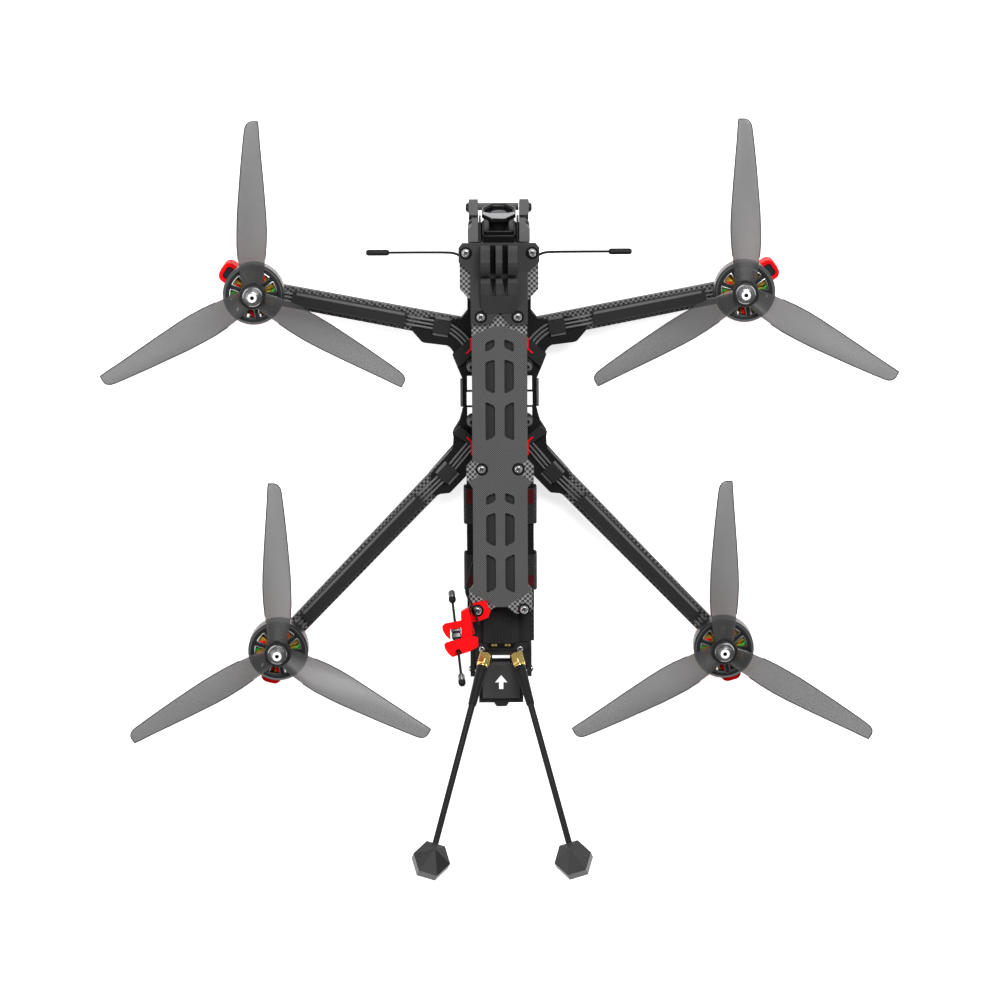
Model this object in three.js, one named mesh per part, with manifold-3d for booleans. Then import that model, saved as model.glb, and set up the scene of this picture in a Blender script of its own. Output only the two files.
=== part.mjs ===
// A long-range FPV quadcopter with 7.5 inch three-blade propellers, standing on its four feet.
// Millimetres, +Z up, +Y towards the nose, +X to the right. The floor is z = 0.
import * as THREE from "three";
import { mergeVertices } from "three/addons/utils/BufferGeometryUtils.js";
import Module from "manifold-3d";

const wasm = await Module();
wasm.setup();

// ---------------------------------------------------------------- driving dimensions
const GAP = 0.3; // clearance kept where pieces meet at an angle or inside a turned group
const PLATE = 2.5; // thickness of the three body plates
const ARM_THICKNESS = 6;
const STANDOFF_LENGTH = 30;
const BELLY_Z = 16.5; // underside of the bottom plate
const ARM_Z = BELLY_Z + PLATE;
const MID_Z = ARM_Z + ARM_THICKNESS;
const DECK_Z = MID_Z + PLATE; // upper face of the middle plate
const TOP_Z = DECK_Z + STANDOFF_LENGTH; // underside of the top plate
const ROOF_Z = TOP_Z + PLATE;
const CENTRE_Y = 6.6; // how far the motors' middle lies ahead of the middle of the whole outline

const CORNERS = [
  { name: "front_left", motor: [-134.4, 99.8], root: [-10, 75.6], foot: 145, phase: -1.3, spin: 1 },
  { name: "front_right", motor: [134.4, 99.8], root: [10, 75.6], foot: 35, phase: 1.3, spin: -1 },
  { name: "rear_left", motor: [-123.7, -99.8], root: [-14, 14.8], foot: 255, phase: 1.3, spin: -1 },
  { name: "rear_right", motor: [123.7, -99.8], root: [14, 14.8], foot: 285, phase: -1.3, spin: 1 },
];
const ARM_HALF_WIDTH = { front: { tip: 5.8, root: 6.2 }, rear: { tip: 5.1, root: 6.2 } };
const ARM_PAD_RADIUS = 13.5; // round end of an arm, under the motor

const BELL = { radius: 16.7, wall: 1.5, low: MID_Z + 3.2, high: MID_Z + 17, spokes: 9 };
const STATOR_RADIUS = 14;
const SHAFT_RADIUS = 2.5; // M5
const PROP = { radius: 95.25, hub: 7.4, seat: MID_Z + 18.1, height: 6.9, tipZ: MID_Z + 20.3 };

const STACK = { y: 44.1, pitch: 30.5 }; // electronics stack, 30.5 mm square hole pattern
const STANDOFFS = [[14.3, 120.3], [10, 89.9], [10, 5.4], [12.8, -72.9]]; // right side; left mirrors
const NOSE_SCREW = [17.9, 124.8]; // holds the action-camera mount to the top plate
const STANDOFF_RADIUS = 2.6;

const CAMERA = { y: 132.4, z: 37, tilt: 20, halfWidth: 9.3 }; // pivot, and uptilt at rest
const PRONG = { y: 121.3, z: ROOF_Z + 9.5, radius: 7.9, bore: 2.6, slot: 3.1 };
const RAIL_HALF_WIDTH = 18.6; // half width of the plates behind the rear arms
const STRAP = { width: 20, outer: 20.3, inner: 18.9, centres: [-21, -58.5] };

// ---------------------------------------------------------------- materials
const paint = (color, roughness, metalness = 0) =>
  new THREE.MeshStandardMaterial({ color, roughness, metalness });
const CARBON = () => paint(0x4a4a4a, 0.45);
const BLACK_PLATE = () => paint(0x202020, 0.6);
const TPU_BLACK = () => paint(0x333333, 0.7);
const TPU_RED = () => paint(0xe8101a, 0.55);
const STEEL = () => paint(0xb8bcc0, 0.3, 1);
const BELL_METAL = () => paint(0x2a2a2e, 0.3, 1);
const COPPER = () => paint(0xb5762a, 0.4, 0.8);
const SMOKE = () => paint(0x4c4c4c, 0.3);
const CIRCUIT = () => paint(0x15181a, 0.5);
const RUBBER = () => paint(0x1b1b1b, 0.8);
const WEBBING = () => paint(0x161616, 0.9);

// ---------------------------------------------------------------- solid helpers
function solid(geometry) {
  const bare = geometry.index ? geometry.toNonIndexed() : geometry.clone();
  bare.deleteAttribute("normal");
  bare.deleteAttribute("uv");
  const merged = mergeVertices(bare, 1e-4);
  return new wasm.Manifold(new wasm.Mesh({
    numProp: 3,
    vertProperties: merged.attributes.position.array,
    triVerts: new Uint32Array(merged.index.array),
  }));
}

function geometryOf(body) {
  const mesh = body.getMesh();
  const geometry = new THREE.BufferGeometry();
  geometry.setAttribute("position", new THREE.BufferAttribute(mesh.vertProperties, 3));
  geometry.setIndex(new THREE.BufferAttribute(mesh.triVerts, 1));
  geometry.computeVertexNormals();
  return geometry;
}

const join = (...bodies) => bodies.reduce((whole, body) => whole.add(body));
const cut = (body, ...tools) => tools.reduce((rest, tool) => rest.subtract(tool), body);

const drone = new THREE.Group();
function add(name, body, material, parent = drone) {
  const mesh = new THREE.Mesh(geometryOf(body), material);
  mesh.name = name;
  parent.add(mesh);
  return mesh;
}

// A box from its lowest and highest corners.
function block([x0, y0, z0], [x1, y1, z1]) {
  const box = new THREE.BoxGeometry(x1 - x0, y1 - y0, z1 - z0);
  return solid(box.translate((x0 + x1) / 2, (y0 + y1) / 2, (z0 + z1) / 2));
}

// A round bar between two points, which may taper.
function bar(from, to, radius, sides = 12, endRadius = radius) {
  const [a, b] = [new THREE.Vector3(...from), new THREE.Vector3(...to)];
  const axis = b.clone().sub(a);
  const rod = new THREE.CylinderGeometry(endRadius, radius, axis.length(), sides);
  const turn = new THREE.Quaternion().setFromUnitVectors(
    new THREE.Vector3(0, 1, 0), axis.clone().normalize());
  const middle = a.add(b).multiplyScalar(0.5);
  return solid(rod.applyQuaternion(turn).translate(middle.x, middle.y, middle.z));
}

// A solid of revolution about Z from [radius, height] points, which close on the axis or on themselves.
function turned(points, sides) {
  const profile = points.map(([r, z]) => new THREE.Vector2(r, z));
  const open = points[0][0] > 0;
  if (open) profile.push(profile[0].clone());
  if (THREE.ShapeUtils.area(profile) < 0) profile.reverse();
  return solid(new THREE.LatheGeometry(profile, sides).rotateX(Math.PI / 2));
}

const outline = (points) => new THREE.Shape(points.map(([x, y]) => new THREE.Vector2(x, y)));
const mirrored = (points) => [...points, ...points.map(([x, y]) => [-x, y]).reverse()];

// A flat piece cut from sheet: its outline in X and Y, its underside and its thickness.
function sheet(points, z, thickness) {
  const shape = new THREE.ExtrudeGeometry(outline(points), { depth: thickness, bevelEnabled: false });
  return solid(shape.translate(0, 0, z));
}

// A flat outline in Y and Z, drawn out along X from x0 to x1.
function profileX(points, x0, x1) {
  const shape = new THREE.ExtrudeGeometry(outline(points), { depth: x1 - x0, bevelEnabled: false });
  const upright = new THREE.Matrix4().makeBasis(
    new THREE.Vector3(0, 1, 0), new THREE.Vector3(0, 0, 1), new THREE.Vector3(1, 0, 0));
  return solid(shape.applyMatrix4(upright).translate(x0, 0, 0));
}

// A tube of any section along a smooth path through the points.
function tube(points, section, steps) {
  const path = new THREE.CatmullRomCurve3(points.map((p) => new THREE.Vector3(...p)));
  const shape = outline(section);
  return solid(new THREE.ExtrudeGeometry(shape, { steps, bevelEnabled: false, extrudePath: path }));
}

const circle = (radius, sides) => Array.from({ length: sides }, (_, i) => {
  const angle = (i / sides) * 2 * Math.PI;
  return [radius * Math.cos(angle), radius * Math.sin(angle)];
});

// Points of an arc about a centre, from one angle to another in degrees.
function arc([cx, cy], radius, from, to, steps) {
  return Array.from({ length: steps + 1 }, (_, i) => {
    const angle = THREE.MathUtils.degToRad(from + ((to - from) * i) / steps);
    return [cx + radius * Math.cos(angle), cy + radius * Math.sin(angle)];
  });
}

// The corner points of an outline, each cut back by a small chamfer.
function eased(points, size) {
  return points.flatMap((point, i) => {
    const here = new THREE.Vector2(...point);
    const towards = (other) => {
      const step = new THREE.Vector2(...other).sub(here).normalize().multiplyScalar(size);
      return here.clone().add(step).toArray();
    };
    const count = points.length;
    return [towards(points[(i + count - 1) % count]), towards(points[(i + 1) % count])];
  });
}

const sides = [-1, 1];
const hole = (x, y, z0, z1, radius = 1.65) => bar([x, y, z0 - 1], [x, y, z1 + 1], radius, 8);

// ---------------------------------------------------------------- body plates
// Windows beside the electronics: outer edge from the middle line, and rear and front ends.
const SIDE_WINDOWS = [[17.9, 27.5, 34.4], [18.7, 35.2, 43], [17.9, 43.8, 52]];

function bottomPlate() {
  const right = [
    [11.2, 136], [11.2, 147], [16.4, 147], [16.4, 126], [17.2, 123.5], [17.2, 88], [21.1, 83.2],
    [39.6, 87.2], [41.9, 85.5], [47.6, 77.4], [42.8, 71.6], [28, 69.4],
    [25, 65.2], [25.8, 62.6], [22.4, 54.6], [20.2, 49.6], [20.2, 33.8], [22.3, 26], [25.9, 20.2],
    [25.5, 12.4], [39.2, -3], [39.7, -5.4], [36.4, -16], [28, -13.5], [RAIL_HALF_WIDTH, -4],
    [RAIL_HALF_WIDTH, -99.5],
  ];
  const windows = sides.map((s) => block([s * 15.6 - 2.6, 24, 15], [s * 15.6 + 2.6, 51.5, 20]));
  const holes = STANDOFFS.flatMap(([x, y]) => sides.map((s) => hole(s * x, y, BELLY_Z, ARM_Z)));
  return cut(sheet(mirrored(right), BELLY_Z, PLATE), ...windows, ...holes);
}

function midPlate() {
  const right = [
    [10.9, 116], [10.9, 124.5], [17.2, 124.5], [17.5, 111.5], [17.5, 87.6], [21.3, 83.8],
    [26.5, 83], [36.4, 84.8], [42, 84.2], [48.3, 78.9], [47.7, 76.9], [42.9, 71.3], [41.5, 70.6],
    [28.8, 69], [26.9, 67.6], [24.9, 64.8], [25.9, 63.7], [22.7, 55.6], [20.3, 50], [20.3, 32],
    [22.5, 25.9], [26.2, 20.4], [25.7, 17.8], [26.1, 11.6], [28.2, 8.9], [38.3, -2.6],
    [38.4, -7.7], [36, -15.6], [33.1, -14.2], [28.1, -13.7], [27, -12.8], [RAIL_HALF_WIDTH, -4],
    [RAIL_HALF_WIDTH, -78.6],
  ];
  const windows = SIDE_WINDOWS.flatMap(([outer, y0, y1]) => sides.map((s) => {
    const [a, b] = [s * 13.8, s * outer];
    return block([Math.min(a, b), y0, MID_Z - 1], [Math.max(a, b), y1, DECK_Z + 1]);
  }));
  const holes = STANDOFFS.flatMap(([x, y]) => sides.map((s) => hole(s * x, y, MID_Z, DECK_Z)));
  return cut(sheet(mirrored(right), MID_Z, PLATE), ...windows, ...holes);
}

// Cut-outs of the top plate in two columns. Each row is [outer, inner] heights of its two slanted ends.
const CUTOUT_X = { inner: 2.6, outer: 7.8 };
const CUTOUTS = [
  { rear: [70, 72.7], front: [75.2, 77.3] },
  { rear: [49.5, 47], front: [64.4, 66.2] },
  { rear: [21.1, 23.5], front: [42.9, 40.3] },
  { rear: [-14.7, -12.5], front: [-9.7, -7.6] },
  { rear: [-35.1, -37.9], front: [-20.6, -18.6] },
  { rear: [-63.9, -61.3], front: [-41.7, -44.3] },
];

function topPlate() {
  const right = [
    [19, 129], [21.4, 126.6], [21.4, 104.8], [15.1, 98], [15.1, 10.6], [18.4, 6.9], [18.4, -0.6],
    [15, -5], [15, -59.2], [17.4, -62.3], [17.4, -72.8], [14.9, -75.3], [8.3, -75.3], [3.4, -71.6],
  ];
  const windows = CUTOUTS.flatMap(({ rear, front }) => sides.map((s) => sheet(eased([
    [s * CUTOUT_X.outer, rear[0]], [s * CUTOUT_X.inner, rear[1]],
    [s * CUTOUT_X.inner, front[1]], [s * CUTOUT_X.outer, front[0]],
  ], 0.9), TOP_Z - 1, PLATE + 2)));
  const screws = [...STANDOFFS.slice(1), NOSE_SCREW];
  const holes = screws.flatMap(([x, y]) => sides.map((s) => hole(s * x, y, TOP_Z, ROOF_Z)));
  return cut(sheet(mirrored(right), TOP_Z, PLATE), ...windows, ...holes);
}

add("bottom_plate", bottomPlate(), CARBON());
add("mid_plate", midPlate(), BLACK_PLATE());
add("top_plate", topPlate(), CARBON());

STANDOFFS.forEach(([x, y], row) => sides.forEach((s) => {
  const name = `standoff_${row + 1}_${s < 0 ? "left" : "right"}`;
  add(name, bar([s * x, y, DECK_Z], [s * x, y, TOP_Z], STANDOFF_RADIUS, 12), STEEL());
}));

// ---------------------------------------------------------------- arms, covers and motor leads
// Directions along an arm, from its motor to its root: u runs inwards, v to the left of u.
function armFrame({ motor, root }) {
  const length = Math.hypot(root[0] - motor[0], root[1] - motor[1]);
  const [ux, uy] = [(root[0] - motor[0]) / length, (root[1] - motor[1]) / length];
  return { length, at: (u, v) => [motor[0] + u * ux - v * uy, motor[1] + u * uy + v * ux] };
}

function arm(corner) {
  const { length, at } = armFrame(corner);
  const { tip, root } = ARM_HALF_WIDTH[corner.motor[1] > 0 ? "front" : "rear"];
  const spread = THREE.MathUtils.radToDeg(Math.asin(tip / ARM_PAD_RADIUS));
  const pad = arc([0, 0], ARM_PAD_RADIUS, spread, 360 - spread, 14);
  const local = [...pad, [length, -root], [length, root]];
  const body = sheet(local.map(([u, v]) => at(u, v)), ARM_Z, ARM_THICKNESS);
  const bolts = [45, 135, 225, 315].map((angle) => {
    const [[u, v]] = arc([0, 0], 9.5, angle, angle, 1);
    return hole(...at(u, v), ARM_Z, MID_Z);
  });
  return cut(body, ...bolts, hole(...corner.motor, ARM_Z, MID_Z, 3.2));
}

// The cover is a channel over the three motor leads, open underneath and at both ends.
const COVER = { halfWidth: 4, height: 3.9, wall: 0.6, start: 21 };
const COVER_END = { front: 84.4, rear: 114.6 }; // distance of the inner end from the motor

function cover(corner) {
  const { at } = armFrame(corner);
  const end = corner.motor[1] > 0 ? COVER_END.front : COVER_END.rear;
  const strip = (half, from, to) => [at(from, -half), at(from, half), at(to, half), at(to, -half)];
  const base = MID_Z + 0.1;
  const shell = sheet(strip(COVER.halfWidth, COVER.start, end), base, COVER.height);
  const inner = strip(COVER.halfWidth - COVER.wall, COVER.start - 1, end + 1);
  return cut(shell, sheet(inner, base - 1, COVER.height - COVER.wall + 1));
}

// Three leads lie side by side as one flat strip, from the motor's base into the body.
const LEAD = { halfWidth: 2.9, halfHeight: 0.95, low: MID_Z + 1.3, over: DECK_Z + 1.3 };
const LEAD_INNER_ENDS = {
  front: [[34, 80.4, LEAD.over], [27, 78.6, LEAD.over], [20, 73, LEAD.over], [15.6, 66.6, LEAD.over + 1]],
  rear: [[29, -1.5, LEAD.over], [24, 4.2, LEAD.over], [19.6, 9.5, LEAD.over], [14.6, 15.4, LEAD.over + 1]],
};

function leads(corner) {
  const { at } = armFrame(corner);
  const isFront = corner.motor[1] > 0;
  const end = isFront ? COVER_END.front : COVER_END.rear;
  const side = Math.sign(corner.motor[0]);
  const inner = LEAD_INNER_ENDS[isFront ? "front" : "rear"];
  const path = [
    ...[15.2, end * 0.45, end * 0.8, end - 5].map((u) => [...at(u, 0), LEAD.low]),
    [...at(end - 0.5, 0), LEAD.low + 0.3],
    [...at(end + (isFront ? 3.8 : 6), 0), LEAD.over],
    ...inner.map(([x, y, z]) => [side * x, y, z]),
  ];
  const { halfWidth: w, halfHeight: h } = LEAD;
  const section = [[w, 0], [w - 0.6, h], [-w + 0.6, h], [-w, 0], [-w + 0.6, -h], [w - 0.6, -h]];
  return flatStrip(path, section, 18);
}

// Sweeps a flat section along a path and keeps it level, so that the strip doesn't twist.
function flatStrip(points, section, steps) {
  const path = new THREE.CatmullRomCurve3(points.map((p) => new THREE.Vector3(...p)));
  const count = section.length;
  const vertices = [];
  for (let i = 0; i <= steps; i++) {
    const centre = path.getPointAt(i / steps);
    const along = path.getTangentAt(i / steps);
    const across = new THREE.Vector3(-along.y, along.x, 0).normalize();
    const up = new THREE.Vector3().crossVectors(along, across);
    section.forEach(([a, b]) => {
      const point = centre.clone().addScaledVector(across, a).addScaledVector(up, b);
      vertices.push(point.x, point.y, point.z);
    });
  }
  return loft(vertices, count, steps + 1);
}

// A closed solid through rings of points: the rings are joined in order and both ends are capped flat.
function loft(vertices, count, rings) {
  const faces = [];
  for (let ring = 0; ring < rings - 1; ring++) {
    for (let i = 0; i < count; i++) {
      const a = ring * count + i;
      const b = ring * count + ((i + 1) % count);
      faces.push(a, b, b + count, a, b + count, a + count);
    }
  }
  const last = (rings - 1) * count;
  for (let i = 1; i < count - 1; i++) faces.push(0, i + 1, i, last, last + i, last + i + 1);
  const geometry = new THREE.BufferGeometry();
  geometry.setAttribute("position", new THREE.Float32BufferAttribute(vertices, 3));
  geometry.setIndex(faces);
  const body = solid(geometry);
  if (body.volume() > 0) return body;
  for (let i = 0; i < faces.length; i += 3) [faces[i], faces[i + 1]] = [faces[i + 1], faces[i]];
  return solid(geometry.setIndex(faces));
}

// A foot hangs under the arm's round end, stands proud of the motor as a bumper and reaches the floor.
const FOOT = { reach: 22.6, inner: 14.6, halfWidth: 5.7, plateZ: BELLY_Z - 0.1, top: ARM_Z + 8.7 };

function foot({ foot: angle }) {
  const { reach, inner, halfWidth: w, plateZ, top } = FOOT;
  const lobe = (grow, from) => [
    [from, -w - grow], [reach - 4.2, -w - grow], [reach - 0.8 + grow, -w + 4.4],
    [reach + grow, 0.5], [reach - 1.6 + grow, w - 2], [reach - 4.6, w + grow], [from, w + grow],
  ];
  const under = turned([[0, plateZ], [12.6, plateZ], [12.6, ARM_Z - 0.1], [0, ARM_Z - 0.1]], 16);
  const rim = sheet(lobe(0, inner), plateZ - 4, top - plateZ + 4);
  const pocket = sheet(lobe(-2, inner + 1.8), top - 3, 4);
  const web = sheet([[6, -4.5], [15, -4.5], [15, 4.5], [6, 4.5]], plateZ - 4, 4.2);
  const leg = loft([
    ...[[7, -4], [18, -4], [19.5, 0], [18, 4], [7, 4]].flatMap(([x, y]) => [x, y, plateZ - 3.5]),
    ...[[12, -2.8], [18, -2.8], [19, 0], [18, 2.8], [12, 2.8]].flatMap(([x, y]) => [x, y, 0]),
  ], 5, 2);
  const body = cut(join(rim, web, leg, under), pocket);
  return { body, angle };
}

// ---------------------------------------------------------------- motors and propellers
function stator() {
  return turned([
    [SHAFT_RADIUS + GAP, MID_Z], [13.2, MID_Z], [13.2, MID_Z + 2], [4.6, MID_Z + 2.6],
    [4.6, MID_Z + 4.4], [STATOR_RADIUS, MID_Z + 4.4], [STATOR_RADIUS, MID_Z + 13],
    [SHAFT_RADIUS + GAP, MID_Z + 13],
  ], 18);
}

function bell() {
  const { radius, wall, low, high, spokes } = BELL;
  const ring = turned([
    [radius - wall, low], [radius, low], [radius, high - 1.4], [radius - 1, high],
    [radius - 3.6, high], [radius - 3.6, high - 2.2], [radius - wall, high - 2.2],
  ], 24);
  const hub = turned([
    [0, low - 1.6], [SHAFT_RADIUS, low - 1.6], [SHAFT_RADIUS, high - 2.4], [6.4, high - 2.4],
    [6.4, high + 0.8], [SHAFT_RADIUS, high + 0.8], [SHAFT_RADIUS, high + 14], [0, high + 14],
  ], 12);
  const spokeBars = Array.from({ length: spokes }, (_, i) => {
    const rib = block([5, -0.95, high - 2.2], [radius - 3, 0.95, high - 0.3]);
    return rib.rotate([0, 0, (i * 360) / spokes]);
  });
  return join(ring, hub, ...spokeBars);
}

// A blade at stations of its radius: how far its leading and trailing edges lie from the radial line,
// its thickness and its twist. Spin is 1 where the propeller turns anticlockwise seen from above.
const BLADE = [
  { r: 5, lead: 5.3, trail: 5.2, thick: 4.4, twist: 20 },
  { r: 12, lead: 6.9, trail: 5.9, thick: 3.2, twist: 26 },
  { r: 28, lead: 8.7, trail: 7, thick: 1.9, twist: 25 },
  { r: 44, lead: 8.7, trail: 6.7, thick: 1.5, twist: 19 },
  { r: 60, lead: 7.8, trail: 5.3, thick: 1.2, twist: 14.5 },
  { r: 77, lead: 6.6, trail: 3.6, thick: 1, twist: 11.5 },
  { r: 90, lead: 5.4, trail: 2.4, thick: 0.8, twist: 9.5 },
  { r: 94, lead: 3.9, trail: 2, thick: 0.7, twist: 9 },
  { r: PROP.radius, lead: 1.4, trail: 1.8, thick: 0.6, twist: 9 },
];

function blade(spin) {
  const { degToRad, lerp } = THREE.MathUtils;
  const rings = BLADE.flatMap(({ r, lead, trail, thick, twist }) => {
    const slope = Math.tan(degToRad(twist));
    const z = lerp(PROP.seat + PROP.height / 2, PROP.tipZ, r / PROP.radius);
    const [front, back, h] = [lead / 2, -trail / 2, thick / 2];
    const section = [[-trail, 0], [back, h], [front, h], [lead, 0], [front, -h], [back, -h]];
    return section.flatMap(([across, up]) => [r, spin * across, z + across * slope + up]);
  });
  return loft(rings, 6, BLADE.length);
}

function propeller(spin) {
  const { hub, seat, height } = PROP;
  const centre = turned([
    [0, seat], [hub, seat], [hub, seat + height - 1], [hub - 1, seat + height], [0, seat + height],
  ], 16);
  const blades = [90, 210, 330].map((angle) => blade(spin).rotate([0, 0, angle]));
  const bore = bar([0, 0, seat - 1], [0, 0, seat + height + 1], SHAFT_RADIUS + GAP, 12);
  return cut(join(centre, ...blades), bore);
}

function propNut() {
  const low = PROP.seat + PROP.height + 0.2;
  const flange = bar([0, 0, low], [0, 0, low + 1.1], 5.1, 12);
  const hex = bar([0, 0, low + 1], [0, 0, low + 5.2], 4.6, 6);
  return cut(join(flange, hex), bar([0, 0, low - 1], [0, 0, low + 7], SHAFT_RADIUS + GAP, 12));
}

CORNERS.forEach((corner) => {
  const { name, motor, phase, spin } = corner;
  add(`arm_${name}`, arm(corner), CARBON());
  add(`arm_cover_${name}`, cover(corner), TPU_BLACK());
  add(`motor_leads_${name}`, leads(corner), RUBBER());
  const seat = new THREE.Group();
  seat.position.set(...motor, 0);
  drone.add(seat);
  const { body, angle } = foot(corner);
  add(`motor_foot_${name}`, body, TPU_RED(), seat).rotation.z = THREE.MathUtils.degToRad(angle);
  add(`motor_stator_${name}`, stator(), COPPER(), seat);
  add(`motor_bell_${name}`, bell(), BELL_METAL(), seat);
  add(`propeller_${name}`, propeller(spin), SMOKE(), seat).rotation.z = THREE.MathUtils.degToRad(phase);
  add(`prop_nut_${name}`, propNut(), STEEL(), seat);
});

// ---------------------------------------------------------------- nose: camera, cage and action-camera mount
// Each side of the cage has an upright ear at the front, a narrow neck and a side plate behind it.
function cage(side) {
  const inner = 11.2;
  const plan = [
    [inner, 129.3], [16.9, 129.3], [16.9, 136], [14.8, 138.4], [14.6, 143], [16.4, 145], [16.4, 151.6],
    [15.9, 152.2], [inner, 152.2],
  ];
  const profile = [
    [129, ARM_Z], [146.5, ARM_Z], [148, 28], [149.5, 38], [152.3, 46], [152.3, 50], [143.9, 50],
    [143.6, 42], [142.5, 42], [142.2, 50], [129, 50],
  ];
  const upright = sheet(plan.map(([x, y]) => [side * x, y]), ARM_Z, 31);
  const wall = upright.intersect(profileX(profile, side < 0 ? -18 : 10, side < 0 ? -10 : 18));
  if (side > 0) return wall;
  return join(wall, bar([-inner - 1, 145.2, 22], [inner - GAP, 145.2, 22], 2.1, 10));
}
add("cage_left", cage(-1), TPU_BLACK());
add("cage_right", cage(1), TPU_BLACK());

function camera() {
  const w = CAMERA.halfWidth;
  const body = block([-w, -8.6, -w], [w, 5.5, w]);
  const barrel = bar([0, 5, 0], [0, 10.6, 0], 7.2, 16);
  const flat = 9.6;
  const corner = 4.4;
  const octagon = eased([[-flat, -flat], [flat, -flat], [flat, flat], [-flat, flat]], corner);
  const hood = new THREE.ExtrudeGeometry(outline(octagon), { depth: 3.4, bevelEnabled: false });
  const upright = new THREE.Matrix4().makeRotationX(Math.PI / 2);
  const ring = solid(hood.applyMatrix4(upright).translate(0, 14, 0));
  return cut(join(body, barrel, ring), bar([0, 12.6, 0], [0, 15, 0], 7.4, 16, 8.6));
}
const cameraSeat = new THREE.Group();
cameraSeat.position.set(0, CAMERA.y, CAMERA.z);
cameraSeat.rotation.x = THREE.MathUtils.degToRad(CAMERA.tilt);
drone.add(cameraSeat);
add("fpv_camera", camera(), paint(0x151515, 0.4), cameraSeat);

const ROD_Z = ROOF_Z + 1.2; // the nose antenna lies in a groove under the mount's base

function actionCameraMount() {
  const thick = 3;
  const right = [[19.8, 130], [21.9, 127.4], [21.9, 119.8], [15.5, 114.2], [15.5, 85.6], [5.2, 85.6],
    [0.1, 93.4]];
  const base = sheet(mirrored(right), ROOF_Z, thick);
  const ramp = sheet(mirrored([[10, 111.4], [10, 96.2], [8, 92]]), ROOF_Z + thick - 0.1, 6)
    .intersect(profileX([[91, 61], [111.5, 61], [111.5, 67.4], [109, 68], [103, 67.2], [91, 63.4]], -11, 11));
  const { y, z, radius, bore, slot } = PRONG;
  const ears = profileX([...arc([y, z], radius, 0, 180, 10), [y - radius, ROOF_Z + 1],
    [y + radius, ROOF_Z + 1]], -10, 10);
  const slots = sides.map((s) => {
    const [a, b] = [s * 1.75, s * (1.75 + slot)];
    return block([Math.min(a, b), 102, ROOF_Z + 4], [Math.max(a, b), 140, ROOF_Z + 30]);
  });
  const groove = join(block([-21, 119.4, ROOF_Z - 1], [21, 124.3, ROOF_Z + 2.3]),
    ...sides.map((s) => block([s * 20.6 - 1.6, 120, ROOF_Z - 1], [s * 20.6 + 1.6, 127.4, ROOF_Z + 2.3])));
  const screws = [NOSE_SCREW, STANDOFFS[1]].flatMap(([x, sy]) =>
    sides.map((s) => hole(s * x, sy, ROOF_Z, ROOF_Z + thick)));
  return cut(join(base, ramp, ears), ...slots, groove, ...screws,
    bar([-20, y, z], [20, y, z], bore, 12));
}
add("action_camera_mount", actionCameraMount(), TPU_BLACK());

function noseAntenna() {
  const half = [[60, 125.1], [42, 125.1], [29, 125], [24.5, 124.6], [21, 123.2], [17, 121.4], [12, 120.9]];
  const path = [...half.map(([x, y]) => [-x, y, ROD_Z]), ...half.map(([x, y]) => [x, y, ROD_Z]).reverse()];
  const rod = tube(path, circle(0.7, 6), 26);
  const caps = sides.map((s) => bar([s * 59.5, 125.1, ROD_Z], [s * 72, 125, ROD_Z], 1.7, 12));
  return join(rod, ...caps);
}
add("nose_antenna", noseAntenna(), RUBBER());

// ---------------------------------------------------------------- electronics in the bay
function board(z0, z1) {
  const { y, pitch } = STACK;
  const middle = block([-14.4, y - 19.4, z0], [14.4, y + 19.4, z1]);
  const lugs = sides.flatMap((sx) => sides.map((sy) => {
    const centre = [sx * pitch / 2, y + sy * pitch / 2];
    return bar([...centre, z0], [...centre, z0 + 1.6], 3, 12);
  }));
  const holes = sides.flatMap((sx) => sides.map((sy) =>
    hole(sx * pitch / 2, y + sy * pitch / 2, z0, z1)));
  return cut(join(middle, ...lugs), ...holes);
}
add("speed_controller", board(DECK_Z + 4, DECK_Z + 9), CIRCUIT());
add("flight_controller", board(DECK_Z + 14, DECK_Z + 18), CIRCUIT());
add("video_transmitter", sheet(eased([[-14.6, -66], [14.6, -66], [14.6, -34], [-14.6, -34]], 1.5),
  DECK_Z + 2.4, 15), CIRCUIT());

// ---------------------------------------------------------------- battery straps
STRAP.centres.forEach((y, i) => {
  const { width, outer, inner } = STRAP;
  const [low, high] = [BELLY_Z - 1.9, DECK_Z + 1.7];
  const loop = sheet(eased([[-outer, low], [outer, low], [outer, high], [-outer, high]], 1.3), 0, width);
  const space = sheet([[-inner, low + 1.6], [inner, low + 1.6], [inner, high - 1.4], [-inner, high - 1.4]],
    -1, width + 2);
  const upright = cut(loop, space).rotate([90, 0, 0]).translate([0, y + width / 2, 0]);
  add(`battery_strap_${i ? "rear" : "front"}`, upright, WEBBING());
});

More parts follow.
